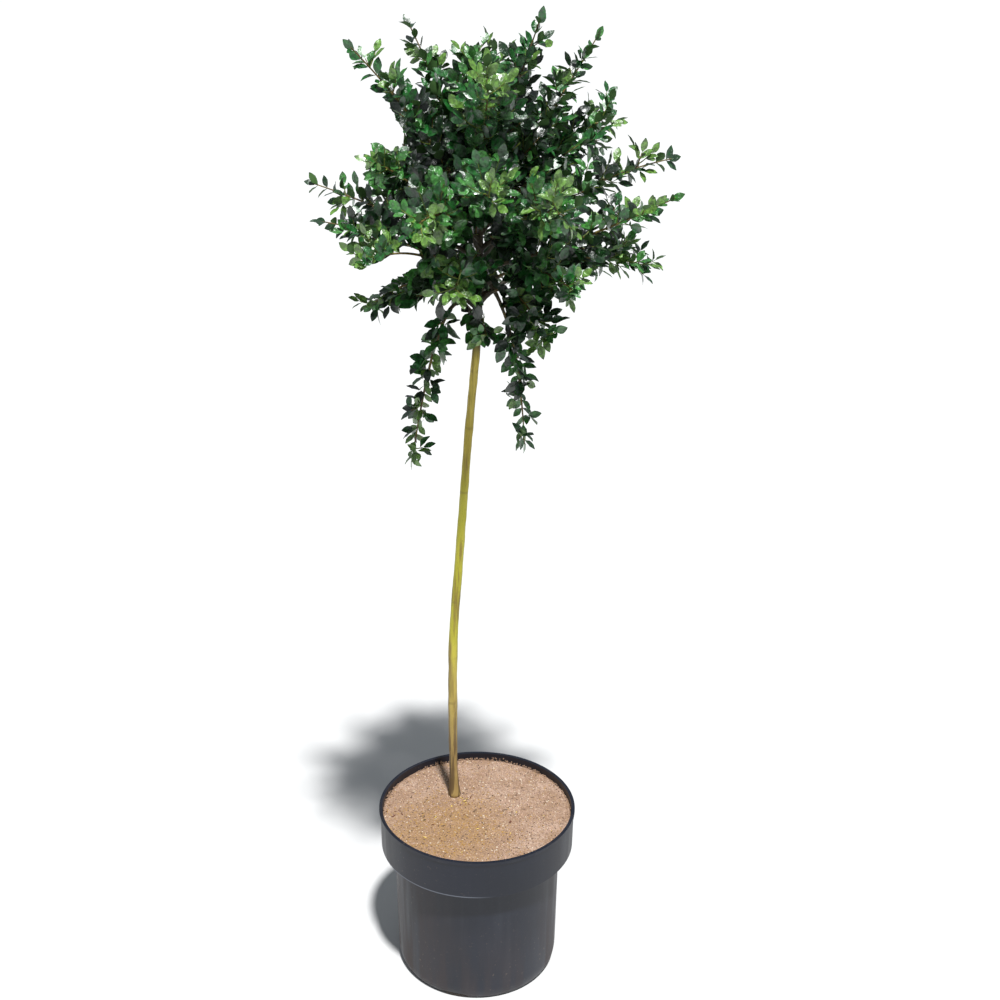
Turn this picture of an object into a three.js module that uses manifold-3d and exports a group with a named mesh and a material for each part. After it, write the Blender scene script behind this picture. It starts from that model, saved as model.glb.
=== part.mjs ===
// A small-leaved evergreen shrub trained as a standard: a loose, open head on a clean green stem,
// standing in a round nursery pot that is filled with potting mix.
// Millimetres, +Z up. The origin is the centre of the pot's flat underside, and -Y is the front.
//
// The head is made of limb lines. Each one leaves the trunk at its own height and runs out to its own tip.
// Its first stretch is a bough, one tapering limb. The rest is a mass of foliage: a stem that carries
// twigs, with leaves on both, all fused into one solid.

import * as THREE from "three";
import { mergeVertices } from "three/addons/utils/BufferGeometryUtils.js";
import Module from "manifold-3d";

const wasm = await Module();
wasm.setup();

// ---------------------------------------------------------------- driving dimensions

const GAP = 0.3; // between two pieces that meet
const CLEAN_UP = 0.03; // edges that a join leaves shorter than this are closed up

// Pot: a moulded body with a deep straight collar.
const POT_HEIGHT = 270;
const RIM_RADIUS = 148.5;
const COLLAR_HEIGHT = 62;
const COLLAR_DRAFT = 1; // how much narrower the collar is at its lower edge
const BODY_TOP_RADIUS = 127;
const BODY_FOOT_RADIUS = 124;
const UNDERSIDE_RADIUS = 113;
const FOOT_ROUND_HEIGHT = 26;
const FOOT_STEPS = 3;
const WALL = 3.5;
const LIP_HEIGHT = 5; // the rolled lip round the rim
const LIP_OUT = 1.5;
const POT_SIDES = 36;
const DRAIN_SLOTS = 4;
const DRAIN_SLOT_WIDTH = 52;
const DRAIN_SLOT_HEIGHT = 9;
const DRAIN_SLOT_DEPTH = 44;
const DRAIN_SLOT_SIDES = 12;
const DRAIN_SLOT_TURN = -16.6; // degrees from the front to the first slot

// Potting mix.
const FILL_BELOW_RIM = 12;

// Trunk: a slim stem that stands a little behind the middle, then leans over to carry the head.
// Each station is [x, y, z, radius].
const GROUND = POT_HEIGHT - FILL_BELOW_RIM;
const TRUNK_STATIONS = [
  [-35, 40, GROUND + GAP, 11],
  [-36, 40, GROUND + 24, 7.7],
  [-37, 39, 400, 7.2],
  [-35, 36, 540, 6.9],
  [-25, 32, 680, 6.5],
  [-12, 24, 860, 5.9],
  [0, 18, 1000, 5.5],
  [4, 15, 1120, 4.6],
  [2, 13, 1235, 3],
];
const TRUNK_SIDES = 12;
const TRUNK_RINGS = 18;
const TRUNK_RING_CROWDING = 1.6; // rings stand closer together towards the root flare

// Limb lines. "at" is the height at which the line leaves the trunk, "tip" its far end, "arch" how far
// its middle is lifted, and "reach" how far foliage stands off it. A slender one thins out to a long
// shoot, and the others end in a full spray. One with "bare" set has no bough: its stem springs from the
// trunk itself.
const LIMB_LINES = [
  { name: "top_middle", at: 1235, tip: [-8, 4, 1378], arch: 0, reach: 54 },
  { name: "top_left", at: 1192, tip: [-95, 84, 1414], arch: 10, reach: 46, slender: true },
  { name: "top_far_left", at: 1160, tip: [-160, -84, 1391], arch: 16, reach: 46, slender: true },
  { name: "top_centre", at: 1206, tip: [82, -24, 1426], arch: -6, reach: 46, slender: true },
  { name: "top_right", at: 1176, tip: [163, 66, 1400], arch: -10, reach: 46, slender: true },
  { name: "top_back", at: 1184, tip: [24, 164, 1360], arch: 14, reach: 66 },
  { name: "top_front", at: 1168, tip: [14, -140, 1346], arch: 16, reach: 66 },
  { name: "upper_right", at: 1142, tip: [190, 118, 1290], arch: 14, reach: 64 },
  { name: "right_upper", at: 1122, tip: [268, 36, 1239], arch: 18, reach: 54, slender: true },
  { name: "right", at: 1094, tip: [257, -84, 1211], arch: -8, reach: 56, slender: true },
  { name: "right_low", at: 1056, tip: [243, 92, 1080], arch: 32, reach: 52 },
  { name: "left_upper", at: 1134, tip: [-134, -96, 1256], arch: 8, reach: 52 },
  { name: "left", at: 1108, tip: [-233, 74, 1203], arch: 8, reach: 54, slender: true },
  { name: "left_low", at: 1080, tip: [-212, -52, 1172], arch: 14, reach: 54, slender: true },
  { name: "front_left", at: 1118, tip: [-72, -206, 1190], arch: 30, reach: 66 },
  { name: "front_right", at: 1102, tip: [108, -200, 1200], arch: 30, reach: 66 },
  { name: "front", at: 1147, tip: [14, -214, 1222], arch: 26, reach: 64 },
  { name: "back_left", at: 1128, tip: [-142, 186, 1256], arch: 26, reach: 66 },
  { name: "back_right", at: 1152, tip: [112, 214, 1262], arch: 26, reach: 66 },
  { name: "back", at: 1090, tip: [-20, 240, 1188], arch: 34, reach: 66 },
  { name: "left_lobe", at: 1062, tip: [-150, -124, 1126], arch: 34, reach: 56 },
  { name: "lower_left", at: 1040, tip: [-152, 20, 1036], arch: 38, reach: 50 },
  { name: "front_low", at: 1073, tip: [-30, -170, 1100], arch: 28, reach: 60 },
  { name: "lower_right", at: 1066, tip: [128, -118, 1088], arch: 32, reach: 58 },
  { name: "low_right", at: 1047, tip: [92, -92, 1012], arch: 46, reach: 58 },
  { name: "back_low", at: 1031, tip: [34, 186, 1118], arch: 36, reach: 64 },
  { name: "trunk_spray", at: 1036, tip: [14, -52, 1010], arch: 8, reach: 46, bare: true },
  { name: "weeping_left", at: 1012, tip: [-92, -16, 820], arch: 110, reach: 30, out: 0.44 },
  { name: "weeping_right", at: 1092, tip: [66, -6, 842], arch: 84, reach: 29, out: 0.86 },
];

// Gaps right through the head, open from front to back. Each reaches across the head from one point to
// another, both level with the pot's middle, and leans by so much in x and z for every millimetre back.
const HEAD_GAPS = [
  { from: [-150, 0, 1078], to: [-88, 0, 1114], radius: 13, lean: [-0.06, -0.22] },
  { from: [-127, 0, 1305], to: [-106, 0, 1268], radius: 13, lean: [-0.06, -0.11] },
  { from: [21, 0, 1056], to: [26, 0, 1034], radius: 12, lean: [0.01, -0.245] },
];
const BOUGH_SHARE = 0.24; // of each line, as bough; the rest is the foliage stem
const BOUGH_TO_TRUNK = 0.72; // a bough's radius where it leaves, as a share of the trunk's there
const BOUGH_TAPER = 0.62; // its radius at the tip, as a share of that
const BOUGH_SIDES = 5;
const BOUGH_RINGS = 2;

// Growth. A twig or a leaf leaves its parent at an angle, and each next one is turned by the golden angle.
// Spacings and leaf lengths are shares of the mass's reach. Leaves are larger than life.
const GOLDEN_TURN = Math.PI * (3 - Math.sqrt(5));
const SEED_TURN = 1.3; // radians by which each parent's first twig and leaf are turned from the parent before
const TURN_TRIES = 7; // turns tried before a twig or a leaf is skipped
const TURN_STEP = 1.1; // radians from one try to the next
const STEM_SIDES = 3;
const STEM_RINGS = 5;
const STEM_TIP_RADIUS = 1.5;
const TWIG_SPACING = 0.95; // along the foliage stem
const FIRST_TWIG_AT = 0.3; // of the first spacing
const TWIG_SHORTENING = 0.4; // of a twig at the stem's tip, as a share of the reach
const SLENDER_SHORTENING = 0.8; // the same on a slender line
const TWIG_SPREAD = 0.25; // from the shortest to the longest, as a share of the length
const TWIG_ANGLE = 0.95; // radians from the parent's own direction
const TWIG_LIFT = 0.25; // how much a twig turns up, as a share of its length
const TWIG_SIDES = 3;
const TWIG_RINGS = 1;
const TWIG_BASE_SHARE = 0.75; // of the stem it leaves
const TWIG_TIP_RADIUS = 1;
const TWIG_PROBES = [0.4, 0.6, 0.8, 1]; // shares of a twig at which its space is tested
const LEAF_SPACING = 0.52; // along a stem or a twig
const LEAF_ANGLE = 0.85; // radians from the parent's own direction
const LEAF_ROLL = 2.2; // radians over which leaves are turned about their midribs
const LEAF_APART = 0.34; // between the middles of two leaves of a mass
const FIRST_LEAF_AT = 0.7; // of the first spacing
const TIP_LEAF_AT = 0.96; // share of a stem or a twig at which its last leaf is rooted
const TIP_LEAF_OVER = 0.8; // share of the last leaf that stands past the end of its stem
const INNER_LEAF_LENGTH = 1.4; // beside the bough
const TIP_LEAF_LENGTH = 0.66; // at the tip of the limb line
const LEAF_SPREAD = 0.24; // from the shortest to the longest, as a share of the length
const LEAF_WIDTH = 0.74; // as a share of its length
const LEAF_THICKNESS = 1.3;
const LEAF_FOLD = 2.2; // how far the two edges stand above the midrib
const LEAF_WIDEST_AT = 0.46; // along its length
const TRAIL_STEPS = 10; // straight stretches that stand for a limb when spaces are compared
const SPACE_MARGIN = 1.5; // kept from the next mass's space
const LIMB_MARGIN = 1.2; // kept from the trunk and the boughs

// ---------------------------------------------------------------- solids

const vector = (p) => new THREE.Vector3(...p);

// A closed geometry as a solid.
function solidOf(geometry) {
  const bare = geometry.clone();
  bare.deleteAttribute("normal");
  bare.deleteAttribute("uv");
  const merged = mergeVertices(bare, 1e-4);
  return new wasm.Manifold(
    new wasm.Mesh({
      numProp: 3,
      vertProperties: merged.attributes.position.array,
      triVerts: new Uint32Array(merged.index.array),
    }),
  );
}

function geometryOf(solid) {
  const mesh = solid.getMesh();
  const geometry = new THREE.BufferGeometry();
  geometry.setAttribute("position", new THREE.BufferAttribute(mesh.vertProperties, 3));
  geometry.setIndex(new THREE.BufferAttribute(mesh.triVerts, 1));
  geometry.computeVertexNormals();
  return geometry;
}

// A limb: a cylinder whose rings are carried onto a curve, with a radius for each place along it.
function limb(curve, radiusAt, sides, rings) {
  const frames = curve.computeFrenetFrames(rings, false);
  const geometry = new THREE.CylinderGeometry(1, 1, 1, sides, rings);
  const places = geometry.attributes.position;
  for (let i = 0; i < places.count; i++) {
    const along = places.getY(i) + 0.5;
    const ring = Math.round(along * rings);
    const radius = radiusAt(along);
    const point = curve
      .getPointAt(along)
      .addScaledVector(frames.binormals[ring], places.getX(i) * radius)
      .addScaledVector(frames.normals[ring], places.getZ(i) * radius);
    places.setXYZ(i, point.x, point.y, point.z);
  }
  return solidOf(geometry);
}

// The middle of a limb at a share of its length, on the straight stretch between two of its rings.
function middleOf(curve, rings, share) {
  const ring = Math.min(rings - 1, Math.floor(share * rings));
  const next = curve.getPointAt((ring + 1) / rings);
  return curve.getPointAt(ring / rings).lerp(next, share * rings - ring);
}

// A round piece from its half profile of [radius, height] points.
function turnedGeometry(profile, sides) {
  const points = profile.map(([r, z]) => new THREE.Vector2(r, z));
  return new THREE.LatheGeometry(points, sides).rotateX(Math.PI / 2);
}

function turned(profile, sides) {
  return solidOf(turnedGeometry(profile, sides));
}

// ---------------------------------------------------------------- pot and mix

// The quarter-round from the underside up to the wall, set in from the outside by a thickness.
function footRound(inset) {
  const out = BODY_FOOT_RADIUS - UNDERSIDE_RADIUS;
  const up = FOOT_ROUND_HEIGHT - inset;
  return Array.from({ length: FOOT_STEPS + 1 }, (_, i) => {
    const a = (i / FOOT_STEPS) * (Math.PI / 2);
    return [UNDERSIDE_RADIUS - inset + out * Math.sin(a), inset + up * (1 - Math.cos(a))];
  });
}

function potSolid() {
  const shoulder = POT_HEIGHT - COLLAR_HEIGHT;
  const outside = [
    [0, 0],
    ...footRound(0),
    [BODY_TOP_RADIUS, shoulder],
    [RIM_RADIUS - COLLAR_DRAFT, shoulder],
    [RIM_RADIUS, POT_HEIGHT - LIP_HEIGHT],
    [RIM_RADIUS + LIP_OUT, POT_HEIGHT - LIP_HEIGHT],
    [RIM_RADIUS + LIP_OUT, POT_HEIGHT],
  ];
  const inside = [
    [RIM_RADIUS - WALL, POT_HEIGHT],
    [RIM_RADIUS - WALL, shoulder + WALL],
    [BODY_TOP_RADIUS - WALL, shoulder + WALL],
    ...footRound(WALL).reverse(),
    [0, WALL],
  ];
  return turned([...outside, ...inside], POT_SIDES).subtract(drainSlots(0));
}

// The arched drain slots round the foot, as one cutter.
function drainSlots(grown) {
  const [halfWidth, height] = [DRAIN_SLOT_WIDTH / 2 + grown, DRAIN_SLOT_HEIGHT + grown];
  const slots = Array.from({ length: DRAIN_SLOTS }, (_, i) => {
    const turn = DRAIN_SLOT_TURN * (Math.PI / 180) + (i * 2 * Math.PI) / DRAIN_SLOTS;
    const slot = new THREE.CylinderGeometry(1, 1, DRAIN_SLOT_DEPTH + 2 * grown, DRAIN_SLOT_SIDES);
    slot.scale(halfWidth, 1, height).translate(0, -BODY_FOOT_RADIUS, 0).rotateZ(turn);
    return solidOf(slot);
  });
  return wasm.Manifold.union(slots);
}

function mixSolid() {
  const shoulder = POT_HEIGHT - COLLAR_HEIGHT;
  const inset = WALL + GAP;
  const inner = RIM_RADIUS - inset;
  return turned(
    [
      [0, inset],
      ...footRound(inset),
      [BODY_TOP_RADIUS - inset, shoulder + inset],
      [inner, shoulder + inset],
      [inner, GROUND],
      [0, GROUND],
    ],
    POT_SIDES,
  ).subtract(drainSlots(GAP));
}

// ---------------------------------------------------------------- limbs

const trunkLine = new THREE.CubicInterpolant(
  TRUNK_STATIONS.map((station) => station[2]),
  TRUNK_STATIONS.flatMap(([x, y, , radius]) => [x, y, radius]),
  3,
);

// The middle of the trunk and its radius at a height.
function trunkAt(height) {
  const [x, y, radius] = trunkLine.evaluate(height);
  return { point: new THREE.Vector3(x, y, height), radius };
}

// The trunk: a turned taper with level rings, leaned over onto the trunk's own line.
function trunkSolid(grown) {
  const [foot, top] = [TRUNK_STATIONS[0][2], TRUNK_STATIONS.at(-1)[2]];
  const heights = Array.from({ length: TRUNK_RINGS + 1 }, (_, i) => {
    const share = i / TRUNK_RINGS;
    return THREE.MathUtils.lerp(foot, top, share ** TRUNK_RING_CROWDING);
  });
  const outside = heights.map((height) => [trunkAt(height).radius + grown, height]);
  const trunk = turnedGeometry([[0, foot], ...outside, [0, top]], TRUNK_SIDES);
  const places = trunk.attributes.position;
  for (let i = 0; i < places.count; i++) {
    const { x, y } = trunkAt(places.getZ(i)).point;
    places.setXY(i, places.getX(i) + x, places.getY(i) + y);
  }
  return solidOf(trunk);
}

// A limb line as a curve from the trunk's middle to its tip.
function lineCurve({ at, tip, arch, out = 0.5 }) {
  const start = trunkAt(at).point;
  const end = vector(tip);
  const pull = start.clone().lerp(end, out);
  pull.z += 2 * arch;
  return new THREE.QuadraticBezierCurve3(start, pull, end);
}

// The stretch of a curve between two shares of its length.
class Stretch extends THREE.Curve {
  constructor(whole, from, to) {
    super();
    Object.assign(this, { whole, from, to });
  }
  getPoint(t, target = new THREE.Vector3()) {
    return target.copy(this.whole.getPointAt(THREE.MathUtils.lerp(this.from, this.to, t)));
  }
}

// Everything that is known of a limb line before it grows.
function laidOut(line) {
  const curve = lineCurve(line);
  const length = curve.getLength();
  const stemEnd = 1 - (TIP_LEAF_OVER * TIP_LEAF_LENGTH * line.reach) / length;
  const noBough = line.bare || line.at >= TRUNK_STATIONS.at(-1)[2];
  const share = noBough ? 0 : BOUGH_SHARE;
  const baseRadius = BOUGH_TO_TRUNK * trunkAt(line.at).radius;
  const tipRadius = BOUGH_TAPER * baseRadius;
  return {
    ...line,
    bough: noBough ? null : new Stretch(curve, 0, share),
    stem: new Stretch(curve, share + GAP / length, stemEnd),
    baseRadius,
    tipRadius,
    trail: new Stretch(curve, share, 1).getPoints(TRAIL_STEPS),
  };
}

function boughSolid(line, trunkGrown) {
  const radiusAt = (along) => THREE.MathUtils.lerp(line.baseRadius, line.tipRadius, along);
  return limb(line.bough, radiusAt, BOUGH_SIDES, BOUGH_RINGS).subtract(trunkGrown);
}

// ---------------------------------------------------------------- space

// Distance from a point to a trail of points joined by straight stretches.
function distanceTo(trail, point) {
  const segment = new THREE.Line3();
  const nearest = new THREE.Vector3();
  let least = Infinity;
  for (let i = 0; i + 1 < trail.length; i++) {
    segment.set(trail[i], trail[i + 1]).closestPointToPoint(point, true, nearest);
    least = Math.min(least, nearest.distanceTo(point));
  }
  return least;
}

// Whether a point lies in a gap of the head.
function inGap(point) {
  return HEAD_GAPS.some(({ from, to, radius, lean }) => {
    const level = new THREE.Vector3(point.x - lean[0] * point.y, 0, point.z - lean[1] * point.y);
    return distanceTo([vector(from), vector(to)], level) < radius;
  });
}

// Whether all of these points keep to the line's own space: nearer to its stem than to any other,
// within its reach, out of the gaps, and clear of the trunk and the boughs.
function keepsToSpace(points, line, lines, limbs) {
  return points.every((point) => {
    const own = distanceTo(line.trail, point);
    return (
      own < line.reach &&
      !inGap(point) &&
      lines.every((other) => other === line || own + SPACE_MARGIN < distanceTo(other.trail, point)) &&
      limbs.every(({ trail, radius }) => distanceTo(trail, point) > radius + LIMB_MARGIN)
    );
  });
}

// ---------------------------------------------------------------- foliage

// A seeded number from 0 to 1, the same for the same three whole numbers.
function chance(a, b, c) {
  const wave = Math.sin(a * 12.9898 + b * 78.233 + c * 37.719) * 43758.5453;
  return wave - Math.floor(wave);
}

// The direction that leaves a parent's own direction by an angle, turned about it.
function branchOff(along, angle, turn) {
  const level = Math.abs(along.z) > 0.9 ? new THREE.Vector3(1, 0, 0) : new THREE.Vector3(0, 0, 1);
  const side = new THREE.Vector3().crossVectors(along, level).normalize();
  side.applyAxisAngle(along, turn);
  return along.clone().multiplyScalar(Math.cos(angle)).addScaledVector(side, Math.sin(angle));
}

// A twig's curve: it leaves its parent in a direction and lifts towards its end.
function twigCurve(start, direction, length) {
  const end = start.clone().addScaledVector(direction, length);
  end.z += TWIG_LIFT * length;
  return new THREE.QuadraticBezierCurve3(
    start,
    start.clone().addScaledVector(direction, length / 2),
    end,
  );
}

// A leaf as an eight-faced blade with its base at the origin, its tip along +X and its face up.
function leafGeometry(length) {
  const blade = new THREE.OctahedronGeometry(1);
  const places = blade.attributes.position;
  for (let i = 0; i < places.count; i++) {
    const [x, y, z] = [places.getX(i), places.getY(i), places.getZ(i)];
    const along = x > 0.5 ? 1 : x < -0.5 ? 0 : LEAF_WIDEST_AT;
    places.setXYZ(
      i,
      along * length,
      (y * length * LEAF_WIDTH) / 2,
      (z * LEAF_THICKNESS) / 2 + Math.abs(y) * LEAF_FOLD,
    );
  }
  return blade;
}

// The placing of a leaf that points along a direction and faces the sky as far as it can.
function leafMatrix(base, direction, roll) {
  const x = direction.clone().normalize();
  const sky = Math.abs(x.z) > 0.95 ? new THREE.Vector3(0, 1, 0) : new THREE.Vector3(0, 0, 1);
  const y = new THREE.Vector3().crossVectors(sky, x).normalize().applyAxisAngle(x, roll);
  const z = new THREE.Vector3().crossVectors(x, y);
  return new THREE.Matrix4().makeBasis(x, y, z).setPosition(base);
}

// Points over a leaf that have to keep to its mass's space.
function leafProbes(matrix, length) {
  const half = (length * LEAF_WIDTH) / 2;
  const widest = LEAF_WIDEST_AT * length;
  return [
    [length, 0, 0],
    [(length + widest) / 2, 0, 0],
    [widest, half, LEAF_FOLD],
    [widest, -half, LEAF_FOLD],
    [widest, 0, 0],
    [(length + widest) / 2, half / 2, LEAF_FOLD / 2],
    [(length + widest) / 2, -half / 2, LEAF_FOLD / 2],
    [widest / 2, half / 2, LEAF_FOLD / 2],
    [widest / 2, -half / 2, LEAF_FOLD / 2],
  ].map((p) => vector(p).applyMatrix4(matrix));
}

// The leaves along a parent, and the one at its tip. Each takes the first turn that keeps to the space
// and stands off the leaves before it.
function leavesAlong(parent, rings, seed, lengthAt, mass) {
  const count = Math.max(1, Math.round(parent.getLength() / (LEAF_SPACING * mass.reach)));
  const leaves = [];
  for (let i = 0; i <= count; i++) {
    const last = i === count;
    const place = last ? TIP_LEAF_AT : (i + FIRST_LEAF_AT) / (count + 0.5);
    const base = middleOf(parent, rings, place);
    const along = parent.getTangentAt(place);
    const length = mass.reach * lengthAt(place) * (1 + LEAF_SPREAD * (chance(seed, i, 1) - 0.5));
    const roll = LEAF_ROLL * (chance(seed, i, 2) - 0.5);
    for (let attempt = 0; attempt < TURN_TRIES; attempt++) {
      const turn = i * GOLDEN_TURN + SEED_TURN * seed + attempt * TURN_STEP;
      const direction = last && attempt === 0 ? along : branchOff(along, LEAF_ANGLE, turn);
      const matrix = leafMatrix(base, direction, roll);
      const middle = new THREE.Vector3(length / 2, 0, 0).applyMatrix4(matrix);
      const apart = mass.leafMiddles.every((other) => other.distanceTo(middle) > LEAF_APART * mass.reach);
      if (!apart || !mass.fits(leafProbes(matrix, length))) continue;
      mass.leafMiddles.push(middle);
      leaves.push(solidOf(leafGeometry(length).applyMatrix4(matrix)));
      break;
    }
  }
  return leaves;
}

// One mass of foliage: its stem, the twigs along it, and the leaves of them all.
function foliageSolid(line, index, lines, limbs, trunkGrown) {
  const { stem, reach } = line;
  const mass = { reach, leafMiddles: [], fits: (points) => keepsToSpace(points, line, lines, limbs) };
  const stemRadius = (along) => THREE.MathUtils.lerp(line.tipRadius, STEM_TIP_RADIUS, along);
  const lengthAt = (place) => THREE.MathUtils.lerp(INNER_LEAF_LENGTH, TIP_LEAF_LENGTH, place);
  const pieces = [
    limb(stem, stemRadius, STEM_SIDES, STEM_RINGS),
    ...leavesAlong(stem, STEM_RINGS, index, lengthAt, mass),
  ];
  const shortening = line.slender ? SLENDER_SHORTENING : TWIG_SHORTENING;
  const count = Math.round(stem.getLength() / (TWIG_SPACING * reach));
  for (let i = 0; i < count; i++) {
    const place = (i + FIRST_TWIG_AT) / count;
    const start = middleOf(stem, STEM_RINGS, place);
    const length = reach * (1 - shortening * place) * (1 - TWIG_SPREAD * chance(index, i, 3));
    for (let attempt = 0; attempt < TURN_TRIES; attempt++) {
      const turn = i * GOLDEN_TURN + SEED_TURN * index + attempt * TURN_STEP;
      const twig = twigCurve(start, branchOff(stem.getTangentAt(place), TWIG_ANGLE, turn), length);
      if (!mass.fits(TWIG_PROBES.map((share) => twig.getPointAt(share)))) continue;
      const baseRadius = TWIG_BASE_SHARE * stemRadius(place);
      const radiusAt = (share) => THREE.MathUtils.lerp(baseRadius, TWIG_TIP_RADIUS, share);
      pieces.push(limb(twig, radiusAt, TWIG_SIDES, TWIG_RINGS));
      pieces.push(...leavesAlong(twig, TWIG_RINGS, 100 * (index + 1) + i, () => lengthAt(place), mass));
      break;
    }
  }
  const fused = wasm.Manifold.union(pieces);
  return (line.bare ? fused.subtract(trunkGrown) : fused).simplify(CLEAN_UP);
}

// ---------------------------------------------------------------- the whole plant

const materials = {
  pot: new THREE.MeshStandardMaterial({ color: 0x2e3338, roughness: 0.55, metalness: 0 }),
  mix: new THREE.MeshStandardMaterial({ color: 0xa88a6c, roughness: 0.95, metalness: 0 }),
  trunk: new THREE.MeshStandardMaterial({ color: 0x9c9140, roughness: 0.7, metalness: 0 }),
  bough: new THREE.MeshStandardMaterial({ color: 0x6d6a35, roughness: 0.75, metalness: 0 }),
  foliage: new THREE.MeshStandardMaterial({ color: 0x1f4a22, roughness: 0.35, metalness: 0 }),
};

const plant = new THREE.Group();

function addPiece(name, solid, material) {
  const mesh = new THREE.Mesh(geometryOf(solid), material);
  mesh.name = name;
  plant.add(mesh);
}

const lines = LIMB_LINES.map(laidOut);
const trunkGrown = trunkSolid(GAP);
const trunkTrails = TRUNK_STATIONS.slice(0, -1).map((station, i) => ({
  trail: [station, TRUNK_STATIONS[i + 1]].map(([x, y, z]) => new THREE.Vector3(x, y, z)),
  radius: station[3],
}));
const boughTrails = lines
  .filter((line) => line.bough)
  .map((line) => ({ trail: line.bough.getPoints(TRAIL_STEPS), radius: line.baseRadius }));
const limbs = [...trunkTrails, ...boughTrails];

addPiece("pot", potSolid(), materials.pot);
addPiece("potting_mix", mixSolid(), materials.mix);
addPiece("trunk", trunkSolid(0), materials.trunk);
lines.forEach((line, index) => {
  if (line.bough) addPiece(`bough_${line.name}`, boughSolid(line, trunkGrown), materials.bough);
  addPiece(`foliage_${line.name}`, foliageSolid(line, index, lines, limbs, trunkGrown), materials.foliage);
});

export default plant;
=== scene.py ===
# %% [markdown]
# # A small-leaved evergreen standard in a nursery pot
#
# The plant is a loose, open head of long leafy shoots on a clean green stem. Two shoots hang down under
# the head. It stands in a round black-blue nursery pot that is filled with a pale, gritty potting mix.
#
# The solid model of the plant is already made, at its real size. It is loaded here as a fixed frame, and
# every piece below is made in that same frame, in metres, with +Z up and the front towards -Y.

import math

import bpy
import numpy as np
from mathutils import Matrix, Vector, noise


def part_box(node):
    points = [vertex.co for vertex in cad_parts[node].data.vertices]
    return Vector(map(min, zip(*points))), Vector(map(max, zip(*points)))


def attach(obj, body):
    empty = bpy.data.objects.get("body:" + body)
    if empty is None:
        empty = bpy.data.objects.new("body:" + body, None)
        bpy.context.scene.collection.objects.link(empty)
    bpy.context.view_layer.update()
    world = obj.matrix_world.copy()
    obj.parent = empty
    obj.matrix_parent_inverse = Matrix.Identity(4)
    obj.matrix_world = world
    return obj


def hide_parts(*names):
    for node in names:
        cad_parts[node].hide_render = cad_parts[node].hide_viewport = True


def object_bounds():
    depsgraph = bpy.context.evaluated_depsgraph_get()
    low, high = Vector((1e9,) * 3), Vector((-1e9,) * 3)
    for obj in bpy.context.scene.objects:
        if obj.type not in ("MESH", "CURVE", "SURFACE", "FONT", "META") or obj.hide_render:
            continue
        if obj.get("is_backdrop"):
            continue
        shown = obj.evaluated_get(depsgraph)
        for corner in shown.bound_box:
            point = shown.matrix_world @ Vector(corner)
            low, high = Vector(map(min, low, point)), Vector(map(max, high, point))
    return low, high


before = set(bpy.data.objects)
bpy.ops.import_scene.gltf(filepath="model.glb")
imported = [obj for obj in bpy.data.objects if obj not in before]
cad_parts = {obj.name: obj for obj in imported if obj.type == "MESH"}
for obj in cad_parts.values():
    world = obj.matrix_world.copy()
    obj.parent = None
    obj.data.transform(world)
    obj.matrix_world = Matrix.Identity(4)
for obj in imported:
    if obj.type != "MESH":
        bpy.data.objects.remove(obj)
cad_low, cad_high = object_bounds()
MM = 0.001
print(f"the frame holds {len(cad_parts)} solids, up to {cad_high.z:.3f} m high")

# %% [markdown]
# ## Habits for every piece
#
# Blender's operators act on whatever is selected, and the frame's solids come in selected. So each piece
# starts with nothing selected. A finished piece has its place in its mesh and its object at the origin.
# It then rides on the plant's one body, and the solids of the frame that it stands for are hidden.

# %% Habits
def select_only(piece):
    bpy.ops.object.select_all(action="DESELECT")
    piece.select_set(True)
    bpy.context.view_layer.objects.active = piece


def settle(piece, slot, *nodes):
    """Hands a finished piece to the frame, and hides the frame's solids that it stands for."""
    select_only(piece)
    bpy.ops.object.transform_apply(location=True, rotation=True, scale=True)
    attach(piece, "root")
    if nodes:
        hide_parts(*nodes)
    piece.data.calc_loop_triangles()
    print(f"{piece.name}: {len(piece.data.loop_triangles)} triangles")


def apply_modifiers(piece):
    select_only(piece)
    for modifier in list(piece.modifiers):
        bpy.ops.object.modifier_apply(modifier=modifier.name)


def shade_smooth(piece, sharp_over):
    """Smooth shading. Edges sharper than an angle in degrees stay sharp."""
    select_only(piece)
    bpy.ops.object.shade_smooth_by_angle(angle=math.radians(sharp_over))


print("the habits are set")

# %% [markdown]
# ## A paint box
#
# A material is a net of nodes. Wired by hand, a sum such as `1 - mask * 0.4` takes two nodes and four
# wires, so a small class stands for the end of a wire and lets such sums be written as sums.
# Every other node comes from one method, which takes the node's kind, its sockets and its settings.

# %% Paint box
class Wire:
    """The end of one wire in a material. A sum that is written with it adds Math nodes."""

    def __init__(self, finish, socket):
        self.finish = finish
        self.socket = socket

    def math(self, operation, first, second):
        return self.finish.node("Math", {0: first, 1: second}, operation=operation)

    def __add__(self, other):
        return self.math("ADD", self, other)

    def __sub__(self, other):
        return self.math("SUBTRACT", self, other)

    def __rsub__(self, other):
        return self.math("SUBTRACT", other, self)

    def __mul__(self, other):
        return self.math("MULTIPLY", self, other)

    __radd__ = __add__
    __rmul__ = __mul__

    def between(self, low, high):
        """0 below one value and 1 above the other, with a soft step from one to the other."""
        sockets = {"Value": self, "From Min": low, "From Max": high}
        return self.finish.node("MapRange", sockets, interpolation_type="SMOOTHSTEP")


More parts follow.
